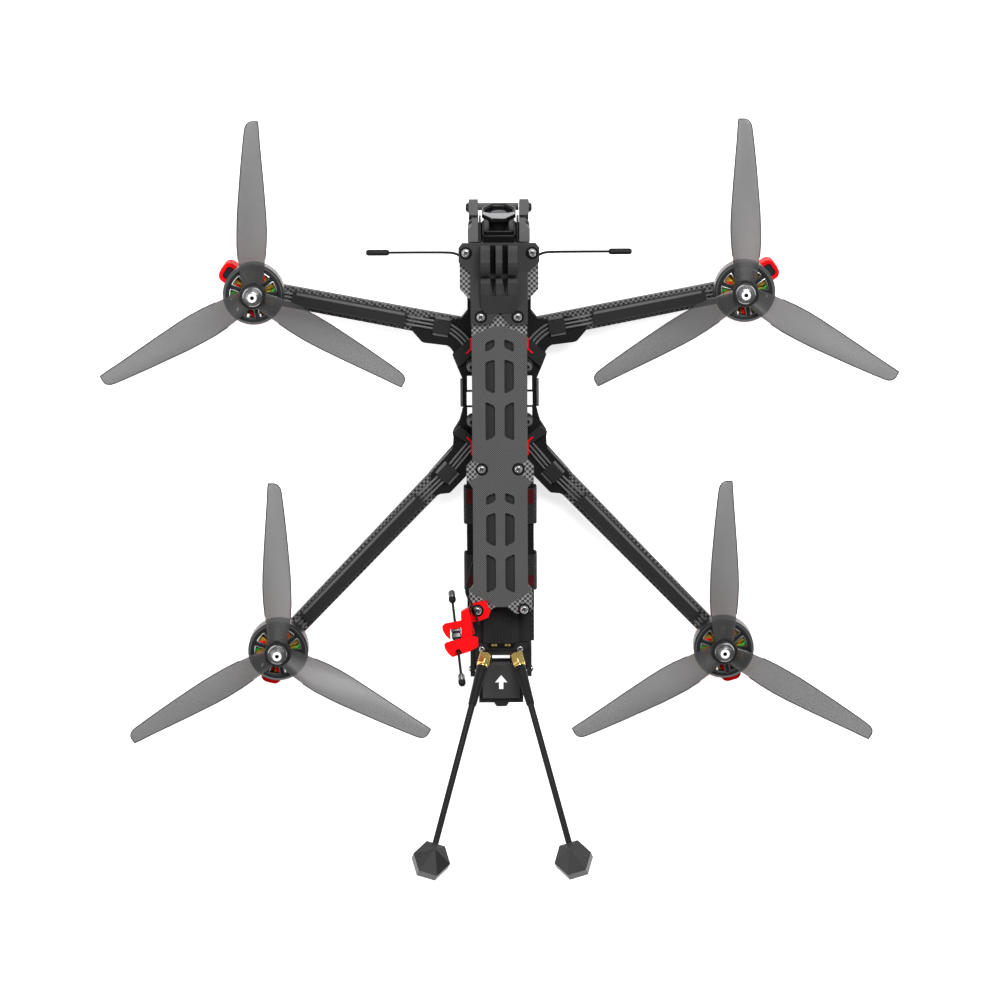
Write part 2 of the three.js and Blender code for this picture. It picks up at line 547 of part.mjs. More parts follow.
// ---------------------------------------------------------------- tail: mount, antennas and positioning module
function tailMount() {
  const back = -99;
  const core = block([-16.5, back, ARM_Z], [16.5, -79, 42]);
  const ribbed = block([-9.8, back + 4, 41], [9.8, -73, 46]);
  const seat = block([-14.5, back, 41], [14.5, back + 4.2, 45]);
  const shelf = [block([-14.5, -102.3, 39], [14.5, back + 1, 43.6]),
    ...sides.map((s) => block([s * 9.7 - 4.8, -106.9, 39], [s * 9.7 + 4.8, -102, 43.6]))];
  const cheeks = sides.map((s) => {
    const [a, b] = [s * 14.4, s * 17];
    return block([Math.min(a, b), -115, 26], [Math.max(a, b), back + 1, 41]);
  });
  const crossbar = block([-17, -113.5, 27], [17, -108, 30.5]);
  const tray = block([-12.3, -129.8, 30], [12.3, -107, 32.5]);
  const lips = [block([-12.3, -129.8, 30], [12.3, -127.6, 41]),
    ...sides.map((s) => block([s * 11.5 - 0.8, -129.8, 30], [s * 11.5 + 0.8, -108, 38]))];
  const tab = sheet([[-4.6, -129], [4.8, -129], [2.8, -132], [-2.6, -132]], 34, 7);
  const wires = block([-8, back + 6, 18], [8, -78, 34]);
  return cut(join(core, ribbed, seat, crossbar, tray, tab, ...shelf, ...cheeks, ...lips), wires);
}
add("tail_mount", tailMount(), TPU_BLACK());

const gpsOutline = [[-9, -107.8], [9, -107.8], [10.4, -116], [10.4, -126.8], [-10.4, -126.8], [-10.4, -116]];
add("gps_module", sheet(gpsOutline, 32.8, 11.2), paint(0x3c3c3c, 0.5));

// Video antennas rise towards the rear and splay outwards.
// Their heads are six-sided, with a raised point on top.
const VIDEO = { foot: [8.6, -100.8, 47.4], head: [36.2, -190.3, 117], headRadius: 10.4, headHeight: 7.5 };

function videoAntenna(side) {
  const foot = new THREE.Vector3(side * VIDEO.foot[0], VIDEO.foot[1], VIDEO.foot[2]);
  const tip = new THREE.Vector3(side * VIDEO.head[0], VIDEO.head[1], VIDEO.head[2]);
  const along = tip.clone().sub(foot).normalize();
  const at = (distance) => foot.clone().addScaledVector(along, distance).toArray();
  const length = tip.distanceTo(foot);
  const nut = bar(at(0), at(8.5), 3.7, 6);
  const sleeve = bar(at(8), at(32), 3, 12, 2.2);
  const stalk = bar(at(31), at(length + 3), 1.8, 10);
  const { headRadius: r, headHeight: h } = VIDEO;
  const gem = new THREE.LatheGeometry([[0, -h / 2 - 3], [r, -h / 2], [r, h / 2], [0, h / 2 + 5.5]]
    .map(([x, y]) => new THREE.Vector2(x, y)), 6, Math.PI / 6);
  const across = new THREE.Vector3(along.y, -along.x, 0).normalize();
  const normal = new THREE.Vector3().crossVectors(across, along);
  const centre = new THREE.Vector3(...at(length + r));
  const place = new THREE.Matrix4().makeBasis(across, normal, along.clone().negate());
  const frame = gem.applyMatrix4(place).translate(centre.x, centre.y, centre.z);
  return join(nut, sleeve, stalk, solid(frame));
}
add("video_antenna_left", videoAntenna(-1), RUBBER());
add("video_antenna_right", videoAntenna(1), RUBBER());

// ---------------------------------------------------------------- receiver antenna, its holder and its lead
const RECEIVER = { front: [-27.2, -62.4, 59], rear: [-21.2, -110.5, 84.5] }; // ends of the dipole
const between = (t) => RECEIVER.front.map((a, i) => a + t * (RECEIVER.rear[i] - a));

// A solid between two copies of one convex outline: the lower one lies further back by the lean.
function leaning(points, z0, z1, lean) {
  const ring = (z, back) => points.flatMap(([x, y]) => [x, y - back, z]);
  return loft([...ring(z0, lean), ...ring(z1, 0)], points.length, 2);
}

// A flat outline in X and Z, drawn out along Y from y0 to y1.
function profileY(points, y0, y1) {
  return sheet(points, 0, y1 - y0).rotate([90, 0, 0]).translate([0, y1, 0]);
}

// The holder is screwed down by its foot. A leaning wall rises beside it, with two forks for the dipole.
function antennaHolder() {
  const [sx, sy] = [-STANDOFFS[3][0], STANDOFFS[3][1]];
  const thick = 2.8;
  const foot = sheet([
    [-16, -69.4], [-8.3, -67.5], [-5.8, -73.4], [-6.9, -76.8], [-12.6, -79.1], [-17, -79.4],
  ], ROOF_Z, thick);
  const wall = leaning([[-17.8, -69.4], [-21.9, -71.7], [-21.7, -86.4], [-14.4, -84]], ROOF_Z, 73, 1.8)
    .intersect(leaning([[-16.4, -60], [-26, -60], [-26, -95], [-16.4, -95]], ROOF_Z - 1, 74, 0)
      .add(profileY([[-16.5, 59], [-13, 59], [-13, 62], [-16.5, 74]], -86, -72)));
  const forks = [
    leaning([[-21, -76.2], [-30.8, -78], [-31.9, -82], [-21, -80.2]], 62.5, 72.5, 2),
    leaning([[-27.8, -78], [-30.8, -78], [-32.2, -79.4], [-31.9, -82], [-30.2, -84.9], [-27.8, -87.2]],
      62.5, 72.5, 2),
    leaning([[-16.6, -83.9], [-30.2, -87.8], [-31.1, -88.7], [-30.8, -91], [-28.9, -93.9],
      [-26.6, -95.9], [-17.2, -92.8], [-12.5, -89.9], [-12.7, -84.9]], 66.5, 77, 2),
  ];
  return cut(join(foot, wall, ...forks), hole(sx, sy, ROOF_Z, ROOF_Z + thick),
    bar(between(-0.1), between(1.1), 2.4, 12));
}

add("antenna_holder", antennaHolder(), TPU_RED());

function receiverAntenna() {
  return join(bar(between(0), between(0.13), 1.85, 12), bar(between(0.12), between(0.4), 0.7, 8),
    bar(between(0.39), between(0.62), 2.05, 12), bar(between(0.61), between(0.86), 0.7, 8),
    bar(between(0.85), between(1), 1.85, 12));
}
add("receiver_antenna", receiverAntenna(), RUBBER());

const LEAD_ROUTE = [
  [-13.6, -44, 50], [-15.4, -49, 51], [-17.2, -54.4, 54], [-18.6, -59.6, 57.6], [-18.9, -63.5, 60.4],
  [-16.8, -67.5, 63.6], [-14.8, -71.6, 66], [-13.3, -76, 67.4], [-12, -80, 68.2],
];
add("receiver_lead", tube(LEAD_ROUTE, circle(0.65, 6), 20), RUBBER());

// ---------------------------------------------------------------- the part's own frame
// The origin is on the floor, under the middle of the outline.
drone.position.y = CENTRE_Y;
const model = new THREE.Group();
model.add(drone);

export default model;
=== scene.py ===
"""Looks for an FPV racing drone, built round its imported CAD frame. Lengths are millimetres until make()."""
import math

import bmesh
import bpy
from mathutils import Matrix, Vector


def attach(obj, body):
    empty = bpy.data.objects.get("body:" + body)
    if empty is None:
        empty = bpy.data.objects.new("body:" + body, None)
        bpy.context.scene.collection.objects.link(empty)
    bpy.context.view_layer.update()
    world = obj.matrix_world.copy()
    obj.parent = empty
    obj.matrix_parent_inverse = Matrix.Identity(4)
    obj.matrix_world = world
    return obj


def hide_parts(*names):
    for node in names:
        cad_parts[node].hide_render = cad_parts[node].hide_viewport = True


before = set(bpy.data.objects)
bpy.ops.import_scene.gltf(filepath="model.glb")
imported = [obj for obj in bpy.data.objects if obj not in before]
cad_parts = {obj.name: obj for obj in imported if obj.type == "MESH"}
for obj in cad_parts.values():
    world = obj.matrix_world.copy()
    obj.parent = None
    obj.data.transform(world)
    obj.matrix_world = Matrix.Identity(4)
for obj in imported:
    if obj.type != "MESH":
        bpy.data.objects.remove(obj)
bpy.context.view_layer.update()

# ---------- dimensions repeated from the part
MM = 0.001
CENTRE_Y = 6.6  # the design's own middle lies this far ahead of the frame's origin
SIDES = (-1, 1)
CORNERS = ("front_left", "front_right", "rear_left", "rear_right")
MOTORS = {"front_left": (-134.4, 99.8), "front_right": (134.4, 99.8),
          "rear_left": (-123.7, -99.8), "rear_right": (123.7, -99.8)}
ROOTS = {"front_left": (-10, 75.6), "front_right": (10, 75.6),
         "rear_left": (-14, 14.8), "rear_right": (14, 14.8)}
SPIN = {"front_left": 1, "front_right": -1, "rear_left": -1, "rear_right": 1}
FOOT_ANGLE = {"front_left": 145, "front_right": 35, "rear_left": 255, "rear_right": 285}
PHASE = 1.3  # degrees that the propellers are turned at rest, against their spin
BELLY, ARM_TOP, DECK, TOP, ROOF = 16.5, 25, 27.5, 57.5, 60
BELL_RADIUS, BELL_LOW, BELL_TOP = 16.7, 28.2, 42
PROP_RADIUS, PROP_SEAT, PROP_TIP = 95.25, 43.1, 45.3
BLADE_ANGLES = (90, 210, 330)
IDENTITY = Matrix.Identity(4)
SHIFT = Matrix.Translation((0, CENTRE_Y, 0))


def end_of(corner):
    return corner.split("_")[0]


def side_of(corner):
    return math.copysign(1, MOTORS[corner][0])


# ---------- node materials
def node(tree, kind, inputs=None, **settings):
    made = tree.nodes.new("ShaderNode" + kind)
    for key, value in settings.items():
        setattr(made, key, value)
    for key, value in (inputs or {}).items():
        if isinstance(value, bpy.types.NodeSocket):
            tree.links.new(value, made.inputs[key])
        else:
            made.inputs[key].default_value = value
    return made


def calc(tree, operation, *values):
    return node(tree, "Math", dict(enumerate(values)), operation=operation).outputs[0]


def mix(tree, factor, first, second):
    """Blends two colours."""
    return node(tree, "Mix", {0: factor, 6: first, 7: second}, data_type="RGBA").outputs[2]


def blend(tree, factor, first, second):
    """Blends two numbers."""
    return node(tree, "Mix", {0: factor, 2: first, 3: second}, data_type="FLOAT").outputs[0]


def split(tree, vector):
    return node(tree, "SeparateXYZ", {0: vector}).outputs


def wave(tree, value, period):
    """A sine with a period in millimetres."""
    return calc(tree, "SINE", calc(tree, "MULTIPLY", value, 2 * math.pi / (period * MM)))


def grey(value):
    return (value, value, value, 1)


def shaded(color, factor):
    """A darker or lighter version of a colour."""
    return tuple(min(1, c * factor) for c in color[:3]) + (1,)


def blank(name, roughness, metallic, specular):
    """A new material with its tree, its shader and its position in metres."""
    material = bpy.data.materials.new(name)
    material.use_nodes = True
    tree = material.node_tree
    shader = tree.nodes["Principled BSDF"]
    shader.inputs["Roughness"].default_value = roughness
    shader.inputs["Metallic"].default_value = metallic
    shader.inputs["Specular IOR Level"].default_value = specular
    place = node(tree, "TexCoord").outputs["Object"]
    return material, tree, shader, place


def noise(tree, place, scale, detail=3.0):
    return node(tree, "TexNoise", {"Vector": place, "Scale": scale, "Detail": detail}).outputs[0]


def relief(tree, shader, height, depth, strength=0.6):
    bump = node(tree, "Bump", {"Height": height, "Distance": depth * MM, "Strength": strength})
    tree.links.new(bump.outputs[0], shader.inputs["Normal"])


def paint(tree, shader, tone):
    tree.links.new(tone, shader.inputs["Base Color"])


def gloss(tree, shader, value, low, high):
    """Lets a 0 to 1 value move the roughness from low to high."""
    made = node(tree, "MapRange", {"Value": value, "To Min": low, "To Max": high})
    tree.links.new(made.outputs[0], shader.inputs["Roughness"])


METAL_GRAIN_DEPTH = 0.003


def grained(name, color, roughness, metallic, specular, grain=2600, spread=0.25, depth=0.05):
    """A moulded or metal surface: fine grain, broad variation in tone and uneven gloss."""
    material, tree, shader, place = blank(name, roughness, metallic, specular)
    broad = noise(tree, place, 90)
    fine = noise(tree, place, grain, 4)
    cloud = calc(tree, "MULTIPLY_ADD", fine, 0.35, calc(tree, "MULTIPLY", broad, 0.65))
    paint(tree, shader, mix(tree, cloud, shaded(color, 1 - spread), shaded(color, 1 + spread)))
    gloss(tree, shader, fine, roughness - 0.08, roughness + 0.08)
    relief(tree, shader, fine, METAL_GRAIN_DEPTH if metallic > 0.5 else depth)
    return material


BEAD = 0.28  # height of one printed layer


def printed(name, color, roughness, specular=0.15):
    """Plastic laid down in beads: layers up the sides and slanted passes across flat tops."""
    material, tree, shader, place = blank(name, roughness, 0, specular)
    x, y, z = split(tree, place)
    layers = wave(tree, z, BEAD)
    passes = wave(tree, calc(tree, "ADD", x, y), 2 * BEAD)
    facing = split(tree, node(tree, "NewGeometry").outputs["Normal"])[2]
    flat = calc(tree, "GREATER_THAN", calc(tree, "ABSOLUTE", facing), 0.8)
    broad = noise(tree, place, 120)
    paint(tree, shader, mix(tree, broad, shaded(color, 0.82), shaded(color, 1.18)))
    gloss(tree, shader, broad, roughness - 0.06, roughness + 0.06)
    relief(tree, shader, blend(tree, flat, layers, passes), 0.05, 0.45)
    return material


LAMINA = 0.3  # thickness of one layer of cloth, seen on cut edges
OFF_CELL_EDGE = 0.00013  # a height, in metres, that isn't on an edge between the checker's cells


def weave(tree, place, cell, turn=0.0):
    """How light the cloth is and how high its fibres stand.

    Faces that lie flat show a checker of fibre bundles, and cut edges show the layers of cloth.
    """
    turned = node(tree, "Mapping", {"Vector": place, "Rotation": (0, 0, turn)}).outputs[0]
    x, y, z = split(tree, turned)
    flat = node(tree, "CombineXYZ", {0: x, 1: y, 2: OFF_CELL_EDGE}).outputs[0]
    checks = node(tree, "TexChecker", {"Vector": flat, "Scale": 1 / (cell * MM)}).outputs[1]
    fibres = blend(tree, checks, wave(tree, x, cell / 5), wave(tree, y, cell / 5))
    facing = split(tree, node(tree, "NewGeometry").outputs["Normal"])[2]
    on_face = calc(tree, "GREATER_THAN", calc(tree, "ABSOLUTE", facing), 0.5)
    layer = wave(tree, z, LAMINA)
    layers = calc(tree, "MULTIPLY_ADD", layer, 0.2, calc(tree, "MULTIPLY", noise(tree, place, 900), 0.4))
    return blend(tree, on_face, layers, checks), blend(tree, on_face, layer, fibres)


COARSE_CELL, FINE_CELL = 1.42, 0.6


def carbon(name, light, dark, turn=0.0):
    roughness = 0.42
    material, tree, shader, place = blank(name, roughness, 0, 0.15)
    checks, fibres = weave(tree, place, COARSE_CELL, turn)
    cloud = noise(tree, place, 60)
    cloth = mix(tree, checks, grey(dark), grey(light))
    paint(tree, shader, mix(tree, calc(tree, "MULTIPLY", cloud, 0.35), cloth, grey(dark)))
    gloss(tree, shader, checks, roughness + 0.1, roughness - 0.06)
    relief(tree, shader, calc(tree, "ADD", fibres, checks), 0.03, 0.4)
    return material


# Edges of the top plate's coarse cloth, measured from the middle of the drone
NOSE_EDGE, NOSE_SLOPE, NOSE_MOST = 85.7, -0.436, 84.3
TAIL_EDGE, TAIL_SLOPE, TAIL_LEAST_OUT = -73.2, 0.62, 2
WAIST_Y, WAIST_OUT, WAIST_HALF, WAIST_REACH, WAIST_SLOPE = 5.1, 11.9, 3.3, 7, 1.6


def top_plate_carbon(name):
    """Coarse cloth at the nose, beside the middle screws and at the tail, and fine cloth between."""
    material, tree, shader, place = blank(name, 0.45, 0, 0.15)
    coarse, coarse_fibres = weave(tree, place, COARSE_CELL)
    fine, fine_fibres = weave(tree, place, FINE_CELL)
    x, y = split(tree, place)[:2]
    out = calc(tree, "ABSOLUTE", x)
    ahead = calc(tree, "SUBTRACT", y, CENTRE_Y * MM)
    nose_edge = calc(tree, "MULTIPLY_ADD", out, NOSE_SLOPE, NOSE_EDGE * MM)
    nose = calc(tree, "GREATER_THAN", ahead, calc(tree, "MINIMUM", nose_edge, NOSE_MOST * MM))
    off_waist = calc(tree, "ABSOLUTE", calc(tree, "SUBTRACT", ahead, WAIST_Y * MM))
    flare = calc(tree, "MULTIPLY", calc(tree, "SUBTRACT", off_waist, WAIST_HALF * MM), WAIST_SLOPE)
    waist_edge = calc(tree, "ADD", calc(tree, "MAXIMUM", flare, 0), WAIST_OUT * MM)
    waist = calc(tree, "MULTIPLY", calc(tree, "GREATER_THAN", out, waist_edge),
                 calc(tree, "LESS_THAN", off_waist, WAIST_REACH * MM))
    tail_out = calc(tree, "MAXIMUM", out, TAIL_LEAST_OUT * MM)
    tail = calc(tree, "LESS_THAN", ahead, calc(tree, "MULTIPLY_ADD", tail_out, TAIL_SLOPE, TAIL_EDGE * MM))
    zone = calc(tree, "MAXIMUM", calc(tree, "MAXIMUM", nose, tail), waist)
    fine_cloth = mix(tree, fine, grey(0.035), grey(0.095))
    coarse_cloth = mix(tree, coarse, grey(0.025), grey(0.22))
    cloth = mix(tree, zone, fine_cloth, coarse_cloth)
    paint(tree, shader, mix(tree, calc(tree, "MULTIPLY", noise(tree, place, 45), 0.3), cloth, grey(0.035)))
    relief(tree, shader, blend(tree, zone, fine_fibres, coarse_fibres), 0.02, 0.35)
    return material


WIRE_PITCH = 0.42


def wound(name, color):
    """Enamelled wire laid side by side round a motor's teeth."""
    material, tree, shader, place = blank(name, 0.3, 0.35, 0.5)
    axes = split(tree, place)
    turns = calc(tree, "ADD", wave(tree, axes[2], WIRE_PITCH), wave(tree, axes[0], WIRE_PITCH))
    paint(tree, shader, mix(tree, noise(tree, place, 700), shaded(color, 0.3), color + (1,)))
    relief(tree, shader, turns, 0.12, 0.8)
    return material


def smoked(name):
    """Smoke-grey translucent blade plastic."""
    material, tree, shader, place = blank(name, 0.32, 0, 0.3)
    paint(tree, shader, mix(tree, noise(tree, place, 30), grey(0.035), grey(0.06)))
    fine = noise(tree, place, 1800)
    gloss(tree, shader, fine, 0.24, 0.36)
    shader.inputs["Alpha"].default_value = 0.67
    relief(tree, shader, fine, 0.002, 0.2)
    return material


WEBBING_CELL = 0.55


def webbing(name, tone):
    """Woven nylon tape."""
    material, tree, shader, place = blank(name, 0.85, 0, 0.2)
    checks, fibres = weave(tree, place, WEBBING_CELL)
    paint(tree, shader, mix(tree, checks, grey(tone * 0.6), grey(tone * 1.5)))
    shader.inputs["Sheen Weight"].default_value = 0.15
    relief(tree, shader, calc(tree, "ADD", checks, fibres), 0.1, 0.8)
    return material


def lens_glass(name):
    """Dark coated glass with a faint blue and violet cast."""
    material, tree, shader, place = blank(name, 0.12, 0, 0.2)
    blue, violet = (0.002, 0.003, 0.008, 1), (0.006, 0.002, 0.01, 1)
    paint(tree, shader, mix(tree, noise(tree, place, 300), blue, violet))
    shader.inputs["Coat Weight"].default_value = 0.2
    return material


# Name and slot, then what grained() takes: colour, roughness, metallic, specular, grain, spread and depth
FINISHES = (
    ("matt_black", None, grey(0.004), 0.62, 0, 0.12),
    ("rubber", "black_silicone", grey(0.004), 0.55, 0, 0.15, 4000),
    # Lighter than the other black silicone: painted highlight along the motor leads
    ("wire", "black_silicone", (0.085, 0.085, 0.088), 0.4, 0, 0.3, 4000),
    # Near-black: painted shade in hollows and recesses (the shaft's bore, screw sockets, the prongs' slots,
    # the rings round the roof screws), and the tail socket's own black housing
    ("void", "black_silicone", grey(0.002), 0.7, 0, 0.1),
    ("pad", "black_tpu", (0.008, 0.016, 0.02), 0.6, 0, 0.12, 1500, 0.25, 0.15),
    ("inlay", "black_tpu", grey(0.02), 0.75, 0, 0.15, 1200, 0.25, 0.1),
    ("anodised", "anodised_bell", (0.02, 0.02, 0.022), 0.35, 0.6, 0.3, 5000),
    ("bell_ring", "anodised_bell", (0.012, 0.012, 0.013), 0.32, 0.2, 0.3, 5000),
    ("lamination", "anodised_bell", (0.02, 0.02, 0.022), 0.45, 0.5, 0.3, 6000),
    ("bright", "bright_edge", (0.34, 0.35, 0.36), 0.26, 1, 0.5, 5000, 0.12),
    ("brass", "brass", (0.87, 0.66, 0.22), 0.24, 1, 0.5, 5000, 0.12),
    ("screw", "steel", (0.5, 0.5, 0.51), 0.25, 1, 0.5, 6000, 0.15),
    ("nut", "steel", (0.17, 0.17, 0.175), 0.26, 0.9, 0.5, 6000, 0.15),
    ("shaft", "steel", (0.95, 0.95, 0.96), 0.3, 0.1, 0.5, 6000, 0.04),
    # Darker than the screws' steel: painted shade where it fills screw sockets; the receiver's small blocks
    # use it too
    ("socket", "steel", grey(0.1), 0.35, 1, 0.5, 6000),
    ("solder", "circuit_board", (0.6, 0.6, 0.58), 0.35, 1, 0.5),
    ("board", "circuit_board", (0.008, 0.012, 0.012), 0.4, 0, 0.4, 900),
    ("chip", "circuit_board", (0.02, 0.02, 0.021), 0.5, 0, 0.3),
    ("blade_edge", "smoke_polycarbonate", grey(0.02), 0.4, 0, 0.3),
    ("hub", "smoke_polycarbonate", grey(0.008), 0.4, 0, 0.25),
    ("module", "module_case", grey(0.03), 0.48, 0, 0.2),
    ("red_print", "red_tpu", (0.07, 0.002, 0.004), 0.6, 0, 0.1),
    ("red_wire", "copper_winding", (0.7, 0.002, 0.006), 0.45, 0, 0.1, 4000),
    ("green_wire", "copper_winding", (0.02, 0.3, 0.03), 0.5, 0, 0.3, 4000),
    ("antenna", "antenna_plastic", grey(0.007), 0.5, 0, 0.15),
    ("gem", "antenna_plastic", grey(0.014), 0.4, 0, 0.3),
    ("white", "white_print", grey(0.85), 0.5, 0, 0.3, 2600, 0.06),
    ("camera", "camera_body", grey(0.004), 0.4, 0, 0.25),
)
# The other finishes: what makes each, its slot, and what the maker takes
SPECIAL = {
    "carbon_top": (top_plate_carbon, None),
    # Much darker than the arms' carbon: painted shade on the bottom plate, which lies under the deck
    "carbon_plate": (carbon, None, 0.03, 0.01),
    "carbon_arm_front": (carbon, None, 0.14, 0.012, math.radians(-10)),
    "carbon_arm_rear": (carbon, None, 0.14, 0.012, math.radians(45)),
    "tpu_black": (printed, "black_tpu", grey(0.011), 0.55),
    "tpu_mount": (printed, "black_tpu", grey(0.026), 0.5),
    "tpu_ear": (printed, "black_tpu", grey(0.085), 0.5),
    "tpu_red": (printed, "red_tpu", (0.72, 0.0008, 0.003), 0.5, 0.08),
    "copper": (wound, "copper_winding", (0.85, 0.52, 0.06)),
    "smoke": (smoked, "smoke_polycarbonate"),
    "webbing": (webbing, "strap_webbing", 0.007),
    "lens": (lens_glass, "lens_glass"),
}
MATERIALS = {name: grained(name, *values) for name, slot, *values in FINISHES}
MATERIALS |= {name: maker(name, *values) for name, (maker, slot, *values) in SPECIAL.items()}
# The slot listed with each finish
SLOTS = {name: slot for name, slot, *values in FINISHES}
SLOTS |= {name: slot for name, (maker, slot, *values) in SPECIAL.items()}


# ---------- mesh building
class Shape:
    """Points and faces that are gathered into one mesh."""

    def __init__(self):
        self.points = []
        self.faces = []

    def add(self, points, faces, place=IDENTITY):
        start = len(self.points)
        self.points += [place @ Vector(p) for p in points]
        self.faces += [[start + i for i in face] for face in faces]
        return self

    def rings(self, rings, place=IDENTITY, around=False):
        """Skins rings of equal length, and caps both ends unless the last ring joins the first."""
        count, total = len(rings[0]), len(rings)
        faces = []
        for r in range(total if around else total - 1):
            for i in range(count):
                a, b = r * count + i, r * count + (i + 1) % count
                up = ((r + 1) % total) * count
                faces.append([a, b, up + (i + 1) % count, up + i])
        if not around:
            faces.append(list(range(count))[::-1])
            faces.append([(total - 1) * count + i for i in range(count)])
        return self.add([p for ring in rings for p in ring], faces, place)

    def prism(self, outline, z0, z1, place=IDENTITY):
        return self.rings([at_height(outline, z0), at_height(outline, z1)], place)

    def box(self, low, high, place=IDENTITY):
        (x0, y0, z0), (x1, y1, z1) = low, high
        return self.prism([(x0, y0), (x1, y0), (x1, y1), (x0, y1)], z0, z1, place)

    def lathe(self, profile, steps=48, place=IDENTITY, around=False):
        """Turns (radius, height) points about Z. A profile off the axis closes on itself with around."""
        rings = []
        for radius, height in profile:
            rings.append([polar(radius, 360 * i / steps) + (height,) for i in range(steps)])
        return self.rings(rings, place, around=around)

    def sweep(self, path, section, place=IDENTITY, level=False, around=False):
        """Carries a section, given as (across, up) points, along a path without twisting it."""
        path = [Vector(p) for p in path]
        count = len(path)
        across = None
        rings = []
        for i, point in enumerate(path):
            before = path[(i - 1) % count] if around else path[max(i - 1, 0)]
            after = path[(i + 1) % count] if around else path[min(i + 1, count - 1)]
            along = (after - before).normalized()
            if level or across is None:
                reference = Vector((0, 0, 1)) if abs(along.z) < 0.95 else Vector((0, 1, 0))
                across = reference.cross(along).normalized()
            across = (across - along * across.dot(along)).normalized()
            up = along.cross(across)
            rings.append([point + across * a + up * b for a, b in section])
        return self.rings(rings, place, around=around)

    def tube(self, path, radius, sides=12, place=IDENTITY, level=False):
        return self.sweep(path, circle(radius, sides), place, level)


def polar(radius, degrees, centre=(0, 0)):
    angle = math.radians(degrees)
    return centre[0] + radius * math.cos(angle), centre[1] + radius * math.sin(angle)


def at_height(outline, z, scale=1.0):
    return [(x * scale, y * scale, z) for x, y in outline]


def circle(radius, sides, start=0.0):
    return [polar(radius, start + 360 * i / sides) for i in range(sides)]


def arc(centre, radius, start, end, steps):
    return [polar(radius, start + (end - start) * i / steps, centre) for i in range(steps + 1)]


def rounded(half_x, half_y, radius, steps=5):
    """A rectangle about the origin with round corners."""
    points = []
    for corner, (sx, sy) in enumerate(((1, 1), (-1, 1), (-1, -1), (1, -1))):
        centre = (sx * (half_x - radius), sy * (half_y - radius))
        points += arc(centre, radius, 90 * corner, 90 * corner + 90, steps)
    return points


def smooth(points, per_span=8):
    """A Catmull-Rom curve through the points."""
    points = [Vector(p) for p in points]
    ends = [points[0] * 2 - points[1]] + points + [points[-1] * 2 - points[-2]]
    path = []
    for a, b, c, d in zip(ends, ends[1:], ends[2:], ends[3:]):
        for i in range(per_span):
            t = i / per_span
            path.append(0.5 * ((2 * b) + (c - a) * t + (2 * a - 5 * b + 4 * c - d) * t * t
                               + (3 * b - a - 3 * c + d) * t ** 3))
    return path + [points[-1]]


def at(x, y=0.0, z=0.0):
    return Matrix.Translation((x, y, z))


def axis_place(origin, along):
    """A frame at a point whose Z runs along a direction."""
    turn = Vector(along).normalized().to_track_quat("Z", "Y").to_matrix().to_4x4()
    return Matrix.Translation(origin) @ turn


def spun(degrees):
    return Matrix.Rotation(math.radians(degrees), 4, "Z")


WELD = 2e-6  # points closer than this, in metres, become one


def make(name, shape, material, body="airframe", slot=None, bevel=0.0, soft_angle=35, replaces=()):
    """Turns a shape into a piece that rides on a body; the slot argument is not used."""
    mesh = bpy.data.meshes.new(name)
    mesh.from_pydata([(SHIFT @ p) * MM for p in shape.points], [], shape.faces)
    work = bmesh.new()
    work.from_mesh(mesh)
    bmesh.ops.remove_doubles(work, verts=work.verts, dist=WELD)
    bmesh.ops.recalc_face_normals(work, faces=work.faces)
    work.to_mesh(mesh)
    work.free()
    mesh.materials.append(MATERIALS[material])
    mesh.shade_smooth()
    mesh.set_sharp_from_angle(angle=math.radians(soft_angle))
    piece = bpy.data.objects.new(name, mesh)
    bpy.context.collection.objects.link(piece)
    if bevel:
        soften(piece, bevel)
    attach(piece, body)
    if replaces:
        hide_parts(*replaces)
    return piece


def soften(piece, width):
    """Rounds every edge that turns by more than 30 degrees."""
    edge = piece.modifiers.new("edges", "BEVEL")
    edge.width = width * MM
    edge.segments = 2
    edge.limit_method = "ANGLE"
    edge.angle_limit = math.radians(30)


def dress(nodes, material, bevel):
    """Gives carried-over CAD nodes their material, and eases their edges."""
    for name in nodes:
        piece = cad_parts[name]
        piece.data.materials.clear()
        piece.data.materials.append(MATERIALS[material])
        soften(piece, bevel)


# ---------- carried-over CAD nodes
def dress_frame():
    """Finishes for the CAD nodes that are shown as they are."""
    dress(["top_plate"], "carbon_top", 0.25)
    dress(["bottom_plate"], "carbon_plate", 0.25)
    dress(["mid_plate"], "matt_black", 0.3)
    dress([f"arm_{c}" for c in CORNERS[:2]], "carbon_arm_front", 0.4)
    dress([f"arm_{c}" for c in CORNERS[2:]], "carbon_arm_rear", 0.4)
    dress([f"arm_cover_{c}" for c in CORNERS], "tpu_black", 0.35)
    dress([f"standoff_{row}_{side}" for row in (1, 2, 3, 4) for side in ("left", "right")], "anodised", 0.3)
    dress(["cage_left", "cage_right"], "tpu_ear", 0.45)
    dress(["action_camera_mount"], "tpu_mount", 0.5)
    dress(["speed_controller", "flight_controller"], "board", 0.15)
    dress(["video_transmitter", "gps_module"], "module", 0.9)
    dress(["tail_mount"], "tpu_black", 0.4)
    dress(["antenna_holder"], "tpu_red", 0.6)


# ---------- motors and propellers
SPOKES, SPOKE_TOP = 9, 41.5


